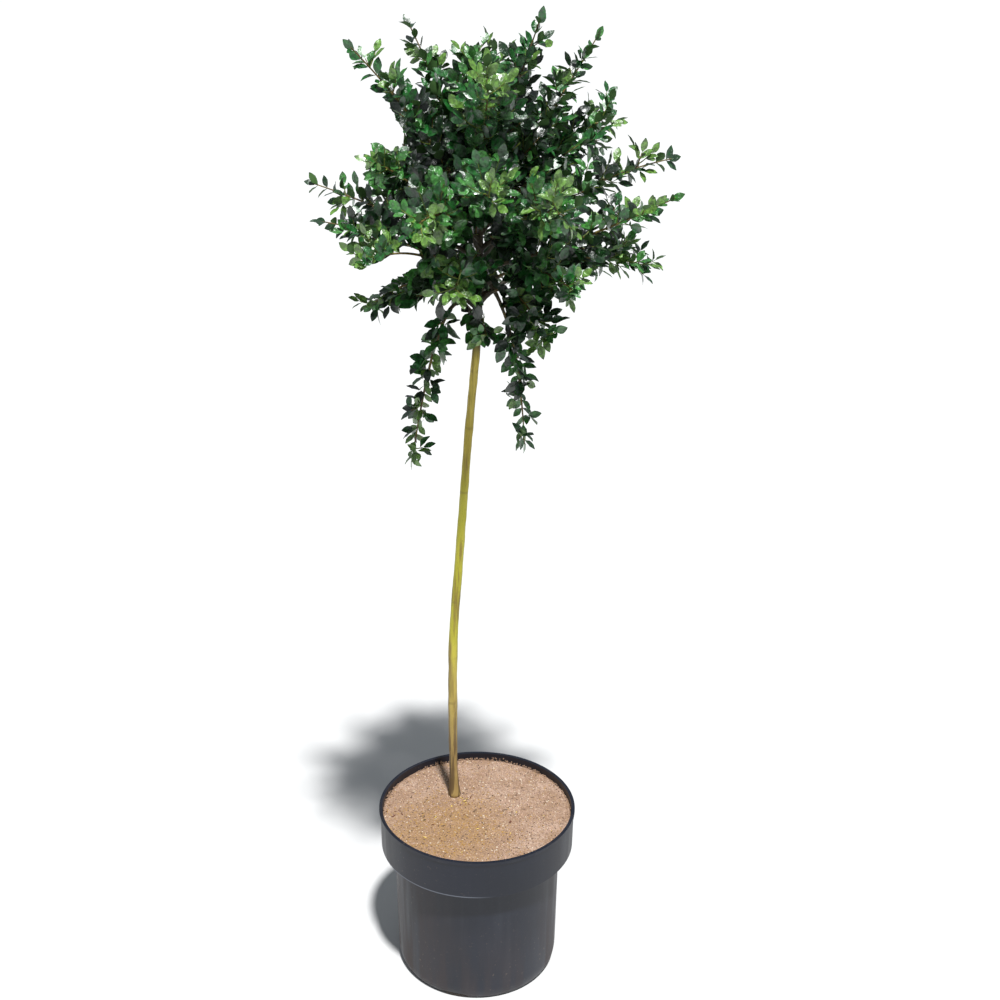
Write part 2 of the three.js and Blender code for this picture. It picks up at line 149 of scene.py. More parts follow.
class Finish:
    """A material that is being wired round Blender's Principled shader."""

    def __init__(self, name):
        self.material = bpy.data.materials.new(name)
        self.material.use_nodes = True
        self.tree = self.material.node_tree
        self.shader = self.tree.nodes["Principled BSDF"]
        self.coordinates = None

    def join(self, value, socket):
        if isinstance(value, Wire):
            self.tree.links.new(value.socket, socket)
        else:
            socket.default_value = value

    def node(self, kind, sockets, output=0, **settings):
        """Adds a node: its settings come first, then the values or wires of its sockets."""
        made = self.tree.nodes.new("ShaderNode" + kind)
        for name, value in settings.items():
            setattr(made, name, value)
        for name, value in sockets.items():
            self.join(value, made.inputs[name])
        return Wire(self, made.outputs[output])

    def place(self):
        """Where on the object a point lies, in metres."""
        self.coordinates = self.coordinates or self.node("TexCoord", {}, output="Object")
        return self.coordinates

    def axes(self):
        """The place's x, y and z, as three wires."""
        split = self.node("SeparateXYZ", {0: self.place()}).socket.node
        return [Wire(self, socket) for socket in split.outputs]

    def noise(self, scale, detail=3.0, stretch=(1, 1, 1)):
        """Soft noise from 0 to 1, with so many waves to the metre, drawn out along an axis by stretch."""
        drawn = self.node("Mapping", {"Vector": self.place(), "Scale": stretch})
        return self.node("TexNoise", {"Vector": drawn, "Scale": scale, "Detail": detail})

    def mix(self, share, first, second):
        """The first colour, going over to the second one as the share goes from 0 to 1."""
        return self.node("Mix", {0: share, 6: first, 7: second}, output=2, data_type="RGBA")

    def bump(self, height, strength, distance):
        sockets = {"Height": height, "Strength": strength, "Distance": distance}
        return self.node("Bump", sockets)

    def feed(self, **sockets):
        """Sets the shader's own sockets. A socket's name is written here with _ for a space."""
        for name, value in sockets.items():
            self.join(value, self.shader.inputs[name.replace("_", " ")])
        return self.material


EVEN_SPLIT = (0.35, 0.65)  # a noise's step between these parts a surface about evenly in two


def colour(red, green, blue):
    """A colour from its three everyday numbers, as the linear light that shaders count in."""
    shares = [value / 255 for value in (red, green, blue)]
    return (*[s / 12.92 if s <= 0.04045 else ((s + 0.055) / 1.055) ** 2.4 for s in shares], 1)


print("the paint box is open; mid grey is", [round(c, 3) for c in colour(128, 128, 128)])

# %% [markdown]
# ## The camera
#
# The camera stands about 1.8 m in front of the plant, a little above the head, and looks down on it by
# nearly a quarter of a right angle. From there the pot's rim shows as an open oval. A lens of about 50 mm
# is the plain choice for that distance. The sensor is shifted a touch, so the trunk stands left of the
# middle with the camera still square to the plant.

# %% Camera
CAMERA_PLACE = (0.0, -1.8, 1.481)
CAMERA_LOOKS_DOWN = 21.5  # degrees below the level
CAMERA_LENS = 49.64  # millimetres
CAMERA_SENSOR = 36.0
CAMERA_SHIFT = 0.023  # of the frame's width

camera_turn = (math.radians(90 - CAMERA_LOOKS_DOWN), 0, 0)
bpy.ops.object.camera_add(location=CAMERA_PLACE, rotation=camera_turn)
camera = bpy.context.object
camera.name = "front_camera"
camera.data.lens = CAMERA_LENS
camera.data.sensor_width = CAMERA_SENSOR
camera.data.shift_x = CAMERA_SHIFT
bpy.context.scene.camera = camera
print(f"camera at {CAMERA_PLACE}, {CAMERA_LOOKS_DOWN} degrees down")

# %% [markdown]
# ## Light and floor
#
# Glossy leaves need two kinds of light. A high, soft-edged sun from the front right gives each leaf a
# bright streak and leaves the inside of the head dark. A dim pale sky keeps those shadows open.
# The floor is a wide pale sheet. It's a plain grid with a faint unevenness in its finish,
# and it's declared as stage, because it isn't part of the plant.

# %% Light and floor
SKY_STRENGTH = 0.29
SKY_COLOUR = (0.86, 0.93, 1.0, 1)
SUN_HEIGHT = 66  # degrees over the horizon
SUN_RIGHT = 14  # degrees to the right of the front
SUN_SOFTNESS = 4  # degrees across
SUN_STRENGTH = 5.2
FLOOR_SIDE = 240.0
FLOOR_TONES = [(0.60, 0.60, 0.60, 1), (0.64, 0.64, 0.635, 1)]

sky = bpy.data.worlds.new("pale_sky")
sky.use_nodes = True
background = sky.node_tree.nodes["Background"].inputs
background["Color"].default_value = SKY_COLOUR
background["Strength"].default_value = SKY_STRENGTH
bpy.context.scene.world = sky
bpy.context.scene.view_settings.view_transform = "Standard"

sun_turn = (math.radians(90 - SUN_HEIGHT), 0, math.radians(SUN_RIGHT))
bpy.ops.object.light_add(type="SUN", rotation=sun_turn)
sun = bpy.context.object
sun.name = "soft_sun"
sun.data.energy = SUN_STRENGTH
sun.data.angle = math.radians(SUN_SOFTNESS)

bpy.ops.mesh.primitive_grid_add(x_subdivisions=8, y_subdivisions=8, size=FLOOR_SIDE)
floor = bpy.context.object
floor.name = "floor"
paper = Finish("floor_paper")
paper_colour = paper.mix(paper.noise(1.5).between(0.3, 0.7), *FLOOR_TONES)
floor.data.materials.append(paper.feed(Base_Color=paper_colour, Roughness=0.85))
floor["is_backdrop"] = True
print(f"a sun {SUN_HEIGHT} degrees high over a floor of {FLOOR_SIDE} m")

# %% [markdown]
# ## The pot
#
# A nursery pot is one thin moulding: a nearly straight body with a rounded foot, a deep collar that
# stands out from it, and a small rolled lip. All of it is round, so one ring of edges can be
# pulled up the outside, over the lip and down the inside. That is what E and S do by hand, and it keeps
# every wall at its true thickness. A lathe (Spin) would do as well, but rings are easy to read as sizes.

# %% Pulling rings
def pull_ring(here, there):
    """Extrudes the selected ring from one (x, y, z, radius) to the next, then scales it there."""
    step = [b - a for a, b in zip(here[:3], there[:3])]
    bpy.ops.mesh.extrude_region_move(TRANSFORM_OT_translate={"value": step})
    grown = there[3] / here[3]
    bpy.ops.transform.resize(value=(grown, grown, 1), center_override=there[:3])


def pulled_shell(name, rings, sides):
    """A closed shell that is pulled through a list of rings, with a cap on its first and last one."""
    bpy.ops.object.select_all(action="DESELECT")
    x, y, z, radius = rings[0]
    bpy.ops.mesh.primitive_circle_add(vertices=sides, radius=radius, location=(x, y, z))
    shell = bpy.context.object
    shell.name = name
    bpy.ops.object.mode_set(mode="EDIT")
    bpy.ops.mesh.select_mode(type="EDGE")
    bpy.ops.mesh.select_all(action="SELECT")
    for here, there in zip(rings, rings[1:]):
        pull_ring(here, there)
    bpy.ops.mesh.edge_face_add()
    bpy.ops.mesh.select_all(action="DESELECT")
    bpy.ops.mesh.select_non_manifold()
    bpy.ops.mesh.edge_face_add()
    bpy.ops.mesh.select_all(action="SELECT")
    bpy.ops.mesh.normals_make_consistent(inside=False)
    bpy.ops.object.mode_set(mode="OBJECT")
    bpy.ops.object.transform_apply(location=True, rotation=True, scale=True)
    return shell


# %% Pot
POT_SIDES = 144
COLLAR_HEIGHT = 62 * MM
COLLAR_DRAFT = 1 * MM  # how much narrower the collar is at its lower edge
BODY_TOP_RADIUS = 127 * MM
BODY_FOOT_RADIUS = 124 * MM
UNDERSIDE_RADIUS = 113 * MM
FOOT_ROUND_HEIGHT = 26 * MM
FOOT_STEPS = 9
WALL = 3.5 * MM
LIP_HEIGHT = 5 * MM
LIP_OUT = 1.5 * MM
_, pot_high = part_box("pot")
POT_HEIGHT = pot_high.z
RIM_RADIUS = pot_high.x - LIP_OUT
SHOULDER = POT_HEIGHT - COLLAR_HEIGHT


def foot_round(inset):
    """The quarter-round from the underside up to the wall, as (radius, height) pairs."""
    out = BODY_FOOT_RADIUS - UNDERSIDE_RADIUS
    up = FOOT_ROUND_HEIGHT - inset
    angles = [i / FOOT_STEPS * math.pi / 2 for i in range(FOOT_STEPS + 1)]
    start = UNDERSIDE_RADIUS - inset
    return [(start + out * math.sin(a), inset + up * (1 - math.cos(a))) for a in angles]


def level_rings(profile):
    return [(0, 0, height, radius) for radius, height in profile]


outside = [
    *foot_round(0),
    (BODY_TOP_RADIUS, SHOULDER),
    (RIM_RADIUS - COLLAR_DRAFT, SHOULDER),
    (RIM_RADIUS, POT_HEIGHT - LIP_HEIGHT),
    (RIM_RADIUS + LIP_OUT, POT_HEIGHT - LIP_HEIGHT),
    (RIM_RADIUS + LIP_OUT, POT_HEIGHT),
]
inside = [
    (RIM_RADIUS - WALL, POT_HEIGHT),
    (RIM_RADIUS - WALL, SHOULDER + WALL),
    (BODY_TOP_RADIUS - WALL, SHOULDER + WALL),
    *foot_round(WALL)[::-1],
]
pot = pulled_shell("nursery_pot", level_rings([*outside, *inside]), POT_SIDES)
print(f"pot: {len(outside) + len(inside)} rings, rim {2 * RIM_RADIUS:.3f} m across")

# %% [markdown]
# The drain slots are low arches round the foot. By hand they are cut with a flattened cylinder and a
# Boolean modifier. One cutter is made at the front, and its copies are turned round the pot.
# A Bevel modifier then softens every hard edge, since moulded plastic has none.

# %% Drain slots
DRAIN_SLOTS = 4
DRAIN_SLOT_WIDTH = 52 * MM
DRAIN_SLOT_HEIGHT = 9 * MM
DRAIN_SLOT_DEPTH = 44 * MM
DRAIN_SLOT_SIDES = 48
DRAIN_SLOT_TURN = -16.6  # degrees from the front to the first slot
EDGE_ROUND = 1.3 * MM
ROUNDED_OVER = 35  # degrees: every edge sharper than this is rounded
POT_SHARP_OVER = 32


def cut_drain_slots(piece, grown):
    """Cuts the ring of slots into a piece, each one larger all round by a little."""
    for i in range(DRAIN_SLOTS):
        turn = math.radians(DRAIN_SLOT_TURN) + i * 2 * math.pi / DRAIN_SLOTS
        place = (BODY_FOOT_RADIUS * math.sin(turn), -BODY_FOOT_RADIUS * math.cos(turn), 0)
        bpy.ops.object.select_all(action="DESELECT")
        bpy.ops.mesh.primitive_cylinder_add(
            vertices=DRAIN_SLOT_SIDES,
            radius=1,
            depth=DRAIN_SLOT_DEPTH + 2 * grown,
            location=place,
            rotation=(math.pi / 2, 0, turn),
        )
        cutter = bpy.context.object
        cutter.scale = (DRAIN_SLOT_WIDTH / 2 + grown, DRAIN_SLOT_HEIGHT + grown, 1)
        cut = piece.modifiers.new("slot", "BOOLEAN")
        cut.object = cutter
        cut.solver = "EXACT"
        apply_modifiers(piece)
        bpy.data.objects.remove(cutter)


cut_drain_slots(pot, 0)
soften = pot.modifiers.new("soften", "BEVEL")
soften.width = EDGE_ROUND
soften.segments = 3
soften.limit_method = "ANGLE"
soften.angle_limit = math.radians(ROUNDED_OVER)
apply_modifiers(pot)
shade_smooth(pot, POT_SHARP_OVER)
print(f"pot: {len(pot.data.polygons)} faces once its {DRAIN_SLOTS} slots are cut and its edges rounded")

# %% [markdown]
# The plastic is a dark slate, darkest on the collar, which sheds the splashes that dull the body. It's
# satin, with fine upright rubs and a dry film of brown dust that has settled low down and on the left.
# A pale line along the left of the collar's lower edge is a painted highlight, where light catches that
# edge.
# Each of these is a mask made from noise and from the place on the pot, and the masks mix
# colours and change the gloss.

# %% Slate plastic
COLLAR_BLEND = 3 * MM  # over which the body's tone goes over to the collar's
EDGE_HIGHLIGHT_HEIGHT = 2.2 * MM  # height of the painted highlight along the collar's lower edge


def slate_plastic():
    finish = Finish("slate_plastic")
    x, _, z = finish.axes()
    cloudy = finish.noise(8, detail=4)
    fine = finish.noise(210, detail=3)
    rubs = finish.noise(48, detail=5, stretch=(1, 1, 0.1))
    collar = z.between(SHOULDER - COLLAR_BLEND, SHOULDER + COLLAR_BLEND)
    low = 1 - z.between(0.0, 0.17)
    left = 1 - x.between(-0.125, 0.0)
    right = x.between(0.085, 0.127)
    clouds = cloudy.between(0.3, 0.75)
    body = finish.mix(clouds, colour(17, 22, 34), colour(26, 31, 44))
    dark = finish.mix(clouds, colour(8, 14, 27), colour(14, 20, 35))
    plastic = finish.mix(collar, body, dark)
    rubbed = finish.mix(rubs.between(0.5, 0.78) * (0.2 - collar * 0.1), plastic, colour(60, 64, 72))
    dust = (left * 0.45 + right * 0.4 + low * 0.35) * rubs.between(0.34, 0.62) * (1 - collar * 0.8)
    dusty = finish.mix(dust * 0.5, rubbed, colour(88, 70, 58))
    flecks = fine.between(0.64, 0.72) * cloudy.between(0.35, 0.6) * (0.25 + low * 0.6 + left * 0.4)
    flecked = finish.mix(flecks * 0.4, dusty, colour(120, 106, 90))
    # painted highlight: a pale line on the left of the collar's lower edge, where light catches it
    edge = z.between(SHOULDER - MM, SHOULDER) * (1 - z.between(SHOULDER + MM, SHOULDER + EDGE_HIGHLIGHT_HEIGHT))
    painted_edge_highlight = edge * (1 - x.between(-0.02, 0.03)) * cloudy.between(0.3, 0.5)
    lined = finish.mix(painted_edge_highlight * 0.45, flecked, colour(132, 138, 150))
    relief = rubs * 0.4 + fine * 0.6
    return finish.feed(
        Base_Color=lined,
        Roughness=0.40 + dust * 0.3 + rubs * 0.14,
        Normal=finish.bump(relief, 0.22, 0.4 * MM),
    )


pot.data.materials.append(slate_plastic())
settle(pot, "pot_plastic", "pot")

# %% [markdown]
# ## The potting mix
#
# The mix is a full plug of fine, pale grit that has settled a finger's width under the rim. The plug is
# pulled in rings like the pot, with many close rings over its top, which a Displace modifier then makes
# uneven. That alone looks like cloth. The real surface is loose grains, so some thousands of them are
# strewn over it, made as one joined mesh from arrays, since no one places those by hand.

# %% Bed of potting mix
GAP = 0.3 * MM
FILL_BELOW_RIM = 12 * MM
GROUND = POT_HEIGHT - FILL_BELOW_RIM
BED_RINGS = 40
BED_SIDES = 120
BED_RISE = 2.5 * MM  # of the middle over the edge
BED_SHARP_OVER = 40
INNERMOST_RING = 0.012  # of the bed's radius
BED_RELIEF = [("lumps", 22 * MM, 3.2 * MM), ("crumbs", 5 * MM, 1.6 * MM)]  # name, size and depth


def roughen(piece, name, size, depth):
    """Adds a Displace modifier that pushes the surface in and out by a cloudy noise."""
    clouds = bpy.data.textures.new(name, "CLOUDS")
    clouds.noise_scale = size
    rough = piece.modifiers.new(name, "DISPLACE")
    rough.texture = clouds
    rough.strength = depth
    return rough


bed_inset = WALL + 2 * GAP
bed_radius = RIM_RADIUS - bed_inset
shares = np.linspace(1, INNERMOST_RING, BED_RINGS)
bed_profile = [
    *foot_round(bed_inset),
    (BODY_TOP_RADIUS - bed_inset, SHOULDER + bed_inset),
    (bed_radius, SHOULDER + bed_inset),
    *[(bed_radius * s, GROUND + BED_RISE * (1 - s * s)) for s in shares],
]
bed = pulled_shell("mix_bed", level_rings(bed_profile), BED_SIDES)
cut_drain_slots(bed, GAP)

top = bed.vertex_groups.new(name="top")
top.add([v.index for v in bed.data.vertices if v.co.z > GROUND - GAP], 1.0, "REPLACE")
for name, size, depth in BED_RELIEF:
    roughen(bed, name, size, depth).vertex_group = "top"
apply_modifiers(bed)
shade_smooth(bed, BED_SHARP_OVER)
print(f"bed of mix: {2 * bed_radius:.3f} m across, its top at {GROUND:.3f} m")


# %% [markdown]
# Dry mix is a pinkish tan. Towards the front left it's still a little damp and goes over to ochre. The
# same patch is used again below, when the grains are strewn, so bed and grains change together.

# %% Grit
DAMP_MIDDLE = (-0.045, -0.055)  # of the damp patch, in x and y
DAMP_REACH = 0.12


def pale_grit():
    finish = Finish("pale_grit")
    x, y, _ = finish.axes()
    patches = finish.noise(30, detail=5)
    grains = finish.noise(420, detail=2)
    specks = finish.noise(240, detail=1)
    off_x, off_y = x - DAMP_MIDDLE[0], y - DAMP_MIDDLE[1]
    damp = 1 - (off_x * off_x + off_y * off_y).between(0.0, DAMP_REACH**2)
    rose = finish.mix(patches.between(*EVEN_SPLIT), colour(158, 130, 108), colour(184, 158, 140))
    ochre = finish.mix(damp * patches.between(0.3, 0.55) * 0.85, rose, colour(156, 122, 76))
    grained = finish.mix(grains.between(0.35, 0.7) * 0.7 + 0.3, colour(120, 92, 70), ochre)
    dark = finish.mix(specks.between(0.64, 0.7), grained, colour(78, 60, 48))
    return finish.feed(
        Base_Color=dark,
        Roughness=0.85 + grains * 0.12,
        Normal=finish.bump(grains, 0.9, 1.2 * MM),
    )


bed.data.materials.append(pale_grit())
settle(bed, "potting_mix", "potting_mix")

# %% [markdown]
# ## Many small things
#
# Grains, twigs and leaves come in thousands. Each kind is one small shape, given as an array of points
# and an array of triangles, and a heap gathers its turned and scaled copies into one joined mesh.
# Each copy is given the number of its paint, so one mesh can hold several colours.

# %% Heap
class Heap:
    """Many small shapes, gathered as arrays and made one joined mesh."""

    def __init__(self):
        self.points = []
        self.triangles = []
        self.paints = []
        self.count = 0

    def add(self, points, triangles, paints):
        self.points.append(points)
        self.triangles.append(np.asarray(triangles) + self.count)
        self.paints.append(np.broadcast_to(paints, len(triangles)))
        self.count += len(points)

    def piece(self, name, materials, sharp_over):
        """The joined mesh as an object, smooth but for the edges sharper than an angle in degrees."""
        mesh = bpy.data.meshes.new(name)
        mesh.from_pydata(np.concatenate(self.points), [], np.concatenate(self.triangles))
        for material in materials:
            mesh.materials.append(material)
        mesh.polygons.foreach_set("material_index", np.concatenate(self.paints).astype(np.int32))
        made = bpy.data.objects.new(name, mesh)
        bpy.context.scene.collection.objects.link(made)
        shade_smooth(made, sharp_over)
        return made


def turned_any_way(rng):
    """A random turn as a 3 by 3 matrix."""
    turn, _ = np.linalg.qr(rng.normal(size=(3, 3)))
    return turn * np.sign(np.linalg.det(turn))


print("the heap is ready")

# %% [markdown]
# A grain is a squashed eight-faced crystal. It lies half sunk in the bed, whose height under it is read
# from the bed itself by a ray that is cast straight down. Most grains are tan or pinkish, some are
# pale as quartz and a few are dark crumbs of peat. In the damp patch up to half of them are ochre.

# %% Grains
GRAINS = 13000
GRAIN_SIZES = (0.5 * MM, 2.1 * MM)
GRAIN_FINENESS = 2.0  # over 1, most grains are near the smaller size
GRAIN_SQUASH = (0.5, 1.0)  # least and most of its size along each axis
DAMP_RAGGED = 0.5  # how far the damp patch's edge wanders, as a share of its reach
DAMP_WAVES = 30  # of that wandering, to the metre
DAMP_FALL = 0.6  # under 1, the patch stays damp nearly to its edge
FACET_SHARP_OVER = 10
GRAIN_TINTS = {  # name: colour, share of the dry grains and share of the damp ones
    "tan_grain": (colour(168, 138, 108), 0.36, 0.26),
    "rose_grain": (colour(182, 152, 134), 0.40, 0.12),
    "quartz_grain": (colour(208, 192, 172), 0.10, 0.04),
    "ochre_grain": (colour(166, 130, 72), 0.06, 0.50),
    "peat_crumb": (colour(92, 68, 52), 0.08, 0.08),
}
CRYSTAL = np.array([(1, 0, 0), (0, 1, 0), (-1, 0, 0), (0, -1, 0), (0, 0, 1), (0, 0, -1)], float)
UPPER_FACES = [(i, (i + 1) % 4, 4) for i in range(4)]
LOWER_FACES = [((i + 1) % 4, i, 5) for i in range(4)]
EIGHT_FACES = UPPER_FACES + LOWER_FACES


def grain_finish(name, tint):
    finish = Finish(name)
    rough = finish.noise(900, detail=1)
    return finish.feed(Base_Color=tint, Roughness=0.7 + rough * 0.25)


def bed_height(x, y):
    hit, place, _, _ = bed.ray_cast((x, y, POT_HEIGHT), (0, 0, -1))
    return place.z if hit else GROUND


def dampness(x, y):
    """1 in the middle of the damp patch and 0 outside its ragged edge."""
    edge = DAMP_REACH * (1 + DAMP_RAGGED * noise.noise((x * DAMP_WAVES, y * DAMP_WAVES, 0)))
    return max(0.0, 1 - math.dist((x, y), DAMP_MIDDLE) / edge) ** DAMP_FALL


rng = np.random.default_rng(7)
grains = Heap()
smallest, largest = GRAIN_SIZES
dry_shares, damp_shares = np.array([shares for _, *shares in GRAIN_TINTS.values()]).T
for _ in range(GRAINS):
    out = (bed_radius - largest) * math.sqrt(rng.random())
    angle = rng.random() * 2 * math.pi
    x, y = out * math.cos(angle), out * math.sin(angle)
    size = smallest + (largest - smallest) * rng.random() ** GRAIN_FINENESS
    crystal = (CRYSTAL * (size * rng.uniform(*GRAIN_SQUASH, 3))) @ turned_any_way(rng).T
    paint = rng.choice(len(GRAIN_TINTS), p=dry_shares + (damp_shares - dry_shares) * dampness(x, y))
    grains.add(crystal + (x, y, bed_height(x, y)), EIGHT_FACES, paint)
grain_paints = [grain_finish(name, tint) for name, (tint, *_) in GRAIN_TINTS.items()]
settle(grains.piece("mix_grains", grain_paints, FACET_SHARP_OVER), "potting_mix")

# %% [markdown]
# A few flakes of red-brown bark and bits of straw lie at the left edge and round the foot of the stem.
# Crumbs stick to the pot's wall, more of them here and fewer there, so the mix ends in a ragged edge.

# %% Flakes and crumbs on the wall
FLAKE_PLACES = [  # x and y of a scatter's middle, its reach, and the bark flakes and straw bits in it
    (-0.126, -0.008, 0.022, 8, 0),
    (-0.018, 0.022, 0.012, 7, 10),
    (-0.04, -0.05, 0.09, 3, 16),
    (0.07, -0.02, 0.07, 4, 5),
]
FLAKE = np.array([(-1, -0.4, 0), (1, -0.3, 0), (0.8, 0.4, 0), (-0.7, 0.5, 0), (0, 0, 0.35), (0, 0, -0.35)])
FLAKE_SIZES = (1.0 * MM, 3.2 * MM)
FLAKE_FLATNESS = 0.4
BARK_FLAKE, STRAW_BIT, WALL_CRUMB = 0, 1, 2
WALL_CRUMBS = 900
WALL_CRUMB_SIZE = 1.6 * MM
WALL_CLIMB = 7 * MM  # how far crumbs stick to the wall over the mix

flakes = Heap()
for middle_x, middle_y, reach, bark_count, straw_count in FLAKE_PLACES:
    for i in range(bark_count + straw_count):
        x, y = (middle_x, middle_y) + rng.normal(0, reach / 2, 2)
        if math.hypot(x, y) > bed_radius - FLAKE_SIZES[1]:
            continue
        shape = FLAKE * rng.uniform(*FLAKE_SIZES) @ turned_any_way(rng)
        shape[:, 2] *= FLAKE_FLATNESS
        kind = BARK_FLAKE if i < bark_count else STRAW_BIT
        flakes.add(shape + (x, y, bed_height(x, y) + MM), EIGHT_FACES, kind)
for _ in range(WALL_CRUMBS):
    angle = rng.random() * 2 * math.pi
    climb = WALL_CLIMB * max(0.1, 0.5 + noise.noise((3 * math.cos(angle), 3 * math.sin(angle), 0.5)))
    x, y = (bed_radius - MM) * math.cos(angle), (bed_radius - MM) * math.sin(angle)
    place = (x, y, GROUND + climb * rng.random() ** 2)
    crumb = CRYSTAL * WALL_CRUMB_SIZE * rng.uniform(*GRAIN_SQUASH) @ turned_any_way(rng)
    flakes.add(crumb + place, EIGHT_FACES, WALL_CRUMB)
flake_paints = [
    grain_finish("red_brown_flake", colour(98, 54, 38)),
    grain_finish("straw_bit", colour(214, 184, 96)),
    grain_finish("wall_crumb", colour(150, 122, 100)),
]
settle(flakes.piece("flakes_and_crumbs", flake_paints, FACET_SHARP_OVER), "potting_mix")

# %% [markdown]
# ## The limbs' lines
#
# The trunk and every shoot of the head follow lines that the solid model also follows, so the same few
# sizes are written again here. The trunk's line goes smoothly through a few stations. Each limb line
# leaves the trunk at its own height and runs to its own tip, with its middle lifted by its arch.
# Its first quarter is a bough. The rest is the stem of a mass of foliage, and leaves stand off that
# stem as far as the line's reach. The line's habit is full, slender, weeping, or bare of any bough.

# %% Lines of trunk and limbs
TRUNK_STATIONS = np.array([  # x, y, z and radius, in millimetres
    (-35, 40, 258.3, 11),
    (-36, 40, 282, 7.7),
    (-37, 39, 400, 7.2),
    (-35, 36, 540, 6.9),
    (-25, 32, 680, 6.5),
    (-12, 24, 860, 5.9),
    (0, 18, 1000, 5.5),
    (4, 15, 1120, 4.6),
    (2, 13, 1235, 3),
]) * MM
LIMB_LINES = {  # name: height on the trunk, tip, arch, reach, and habit where it isn't full
    "top_middle": (1235, (-8, 4, 1378), 0, 54),
    "top_left": (1192, (-95, 84, 1414), 10, 46, "slender"),
    "top_far_left": (1160, (-160, -84, 1391), 16, 46, "slender"),
    "top_centre": (1206, (82, -24, 1426), -6, 46, "slender"),
    "top_right": (1176, (163, 66, 1400), -10, 46, "slender"),
    "top_back": (1184, (24, 164, 1360), 14, 66),
    "top_front": (1168, (14, -140, 1346), 16, 66),
    "upper_right": (1142, (190, 118, 1290), 14, 64),
    "right_upper": (1122, (268, 36, 1239), 18, 54, "slender"),
    "right": (1094, (257, -84, 1211), -8, 56, "slender"),
    "right_low": (1056, (243, 92, 1080), 32, 52),
    "left_upper": (1134, (-134, -96, 1256), 8, 52),
    "left": (1108, (-233, 74, 1203), 8, 54, "slender"),
    "left_low": (1080, (-212, -52, 1172), 14, 54, "slender"),
    "front_left": (1118, (-72, -206, 1190), 30, 66),
    "front_right": (1102, (108, -200, 1200), 30, 66),
    "front": (1147, (14, -214, 1222), 26, 64),
    "back_left": (1128, (-142, 186, 1256), 26, 66),
    "back_right": (1152, (112, 214, 1262), 26, 66),
    "back": (1090, (-20, 240, 1188), 34, 66),
    "left_lobe": (1062, (-150, -124, 1126), 34, 56),
    "lower_left": (1040, (-152, 20, 1036), 38, 50),
    "front_low": (1073, (-30, -170, 1100), 28, 60),
    "lower_right": (1066, (128, -118, 1088), 32, 58),
    "low_right": (1047, (92, -92, 1012), 46, 58),
    "back_low": (1031, (34, 186, 1118), 36, 64),
    "trunk_spray": (1036, (14, -52, 1010), 8, 46, "bare"),
    "weeping_left": (1012, (-92, -16, 820), 110, 30, "weeping"),
    "weeping_right": (1092, (66, -6, 842), 84, 29, "weeping"),
}
ARCH_AT = {"weeping_left": 0.44, "weeping_right": 0.86}  # of the line; the others arch halfway
BOUGH_SHARE = 0.24  # of each line
BOUGH_TO_TRUNK = 0.72  # a bough's radius where it leaves, as a share of the trunk's there
BOUGH_TAPER = 0.62
LINE_POINTS = 60
STRETCH_POINTS = 30
DIRECTION_STEP = 0.02  # share of a line to either side over which its direction is read


class Curve:
    """A line through space, kept as short steps and read by the share of its length."""

    def __init__(self, points):
        self.points = np.asarray(points, float)
        steps = np.linalg.norm(np.diff(self.points, axis=0), axis=1)
        self.marks = np.concatenate([[0.0], np.cumsum(steps)])
        self.length = self.marks[-1]

    def at(self, share):
        mark = np.asarray(share) * self.length
        return np.stack([np.interp(mark, self.marks, axis) for axis in self.points.T], axis=-1)

    def along(self, share):
        """The direction of the line at a share of its length."""
        step = self.at(min(share + DIRECTION_STEP, 1.0)) - self.at(max(share - DIRECTION_STEP, 0.0))
        return step / np.linalg.norm(step)

    def stretch(self, start, end):
        return Curve(self.at(np.linspace(start, end, STRETCH_POINTS)))


def bezier(start, pull, end):
    """A line from start to end that is pulled towards a third point."""
    t = np.linspace(0, 1, LINE_POINTS)[:, None]
    return Curve((1 - t) ** 2 * start + 2 * t * (1 - t) * pull + t**2 * end)


def trunk_at(height):
    """The trunk's middle and radius at a height. Its slope at a station is the mean of those beside it."""
    heights = TRUNK_STATIONS[:, 2]
    secants = np.diff(TRUNK_STATIONS, axis=0) / np.diff(heights)[:, None]
    slopes = np.vstack([secants[0], (secants[:-1] + secants[1:]) / 2, secants[-1]])
    i = int(np.clip(np.searchsorted(heights, height) - 1, 0, len(secants) - 1))
    step = heights[i + 1] - heights[i]
    t = (height - heights[i]) / step
    ends = TRUNK_STATIONS[i] * (1 + 2 * t) * (1 - t) ** 2 + TRUNK_STATIONS[i + 1] * t * t * (3 - 2 * t)
    turns = slopes[i] * t * (1 - t) ** 2 - slopes[i + 1] * t * t * (1 - t)
    x, y, z, radius = ends + turns * step
    return np.array((x, y, z)), radius


class Limb:
    """All that is known of a limb line before it grows."""

    def __init__(self, index, name):
        at, tip, arch, reach, *habit = LIMB_LINES[name]
        self.habit = habit[0] if habit else "full"
        self.index, self.name, self.reach = index, name, reach * MM
        start, trunk_radius = trunk_at(at * MM)
        end = np.array(tip) * MM
        pull = start + (end - start) * ARCH_AT.get(name, 0.5)
        pull[2] += 2 * arch * MM
        self.line = bezier(start, pull, end)
        self.has_bough = self.habit != "bare" and at * MM < TRUNK_STATIONS[-1, 2]
        self.share = BOUGH_SHARE if self.has_bough else 0.0
        self.base_radius = BOUGH_TO_TRUNK * trunk_radius
        self.tip_radius = BOUGH_TAPER * self.base_radius
        self.stem_start = self.share + GAP / self.line.length
        if self.habit == "bare":
            self.stem_start = (trunk_radius + GAP) / self.line.length


limbs = [Limb(index, name) for index, name in enumerate(LIMB_LINES)]
print(f"{len(limbs)} limb lines, {sum(limb.line.length for limb in limbs):.2f} m in all")

# %% [markdown]
# ## The trunk
#
# The stem is slim and still green. It stands behind the pot's middle, leans over to carry the head, and
# widens at the soil. Rings are pulled up along its line as they were for the pot, a Subdivision modifier
# rounds them, and Displace modifiers give the bark long lumps and fine wrinkles. An empty that is
# stretched upwards carries the textures, so the wrinkles run along the stem.

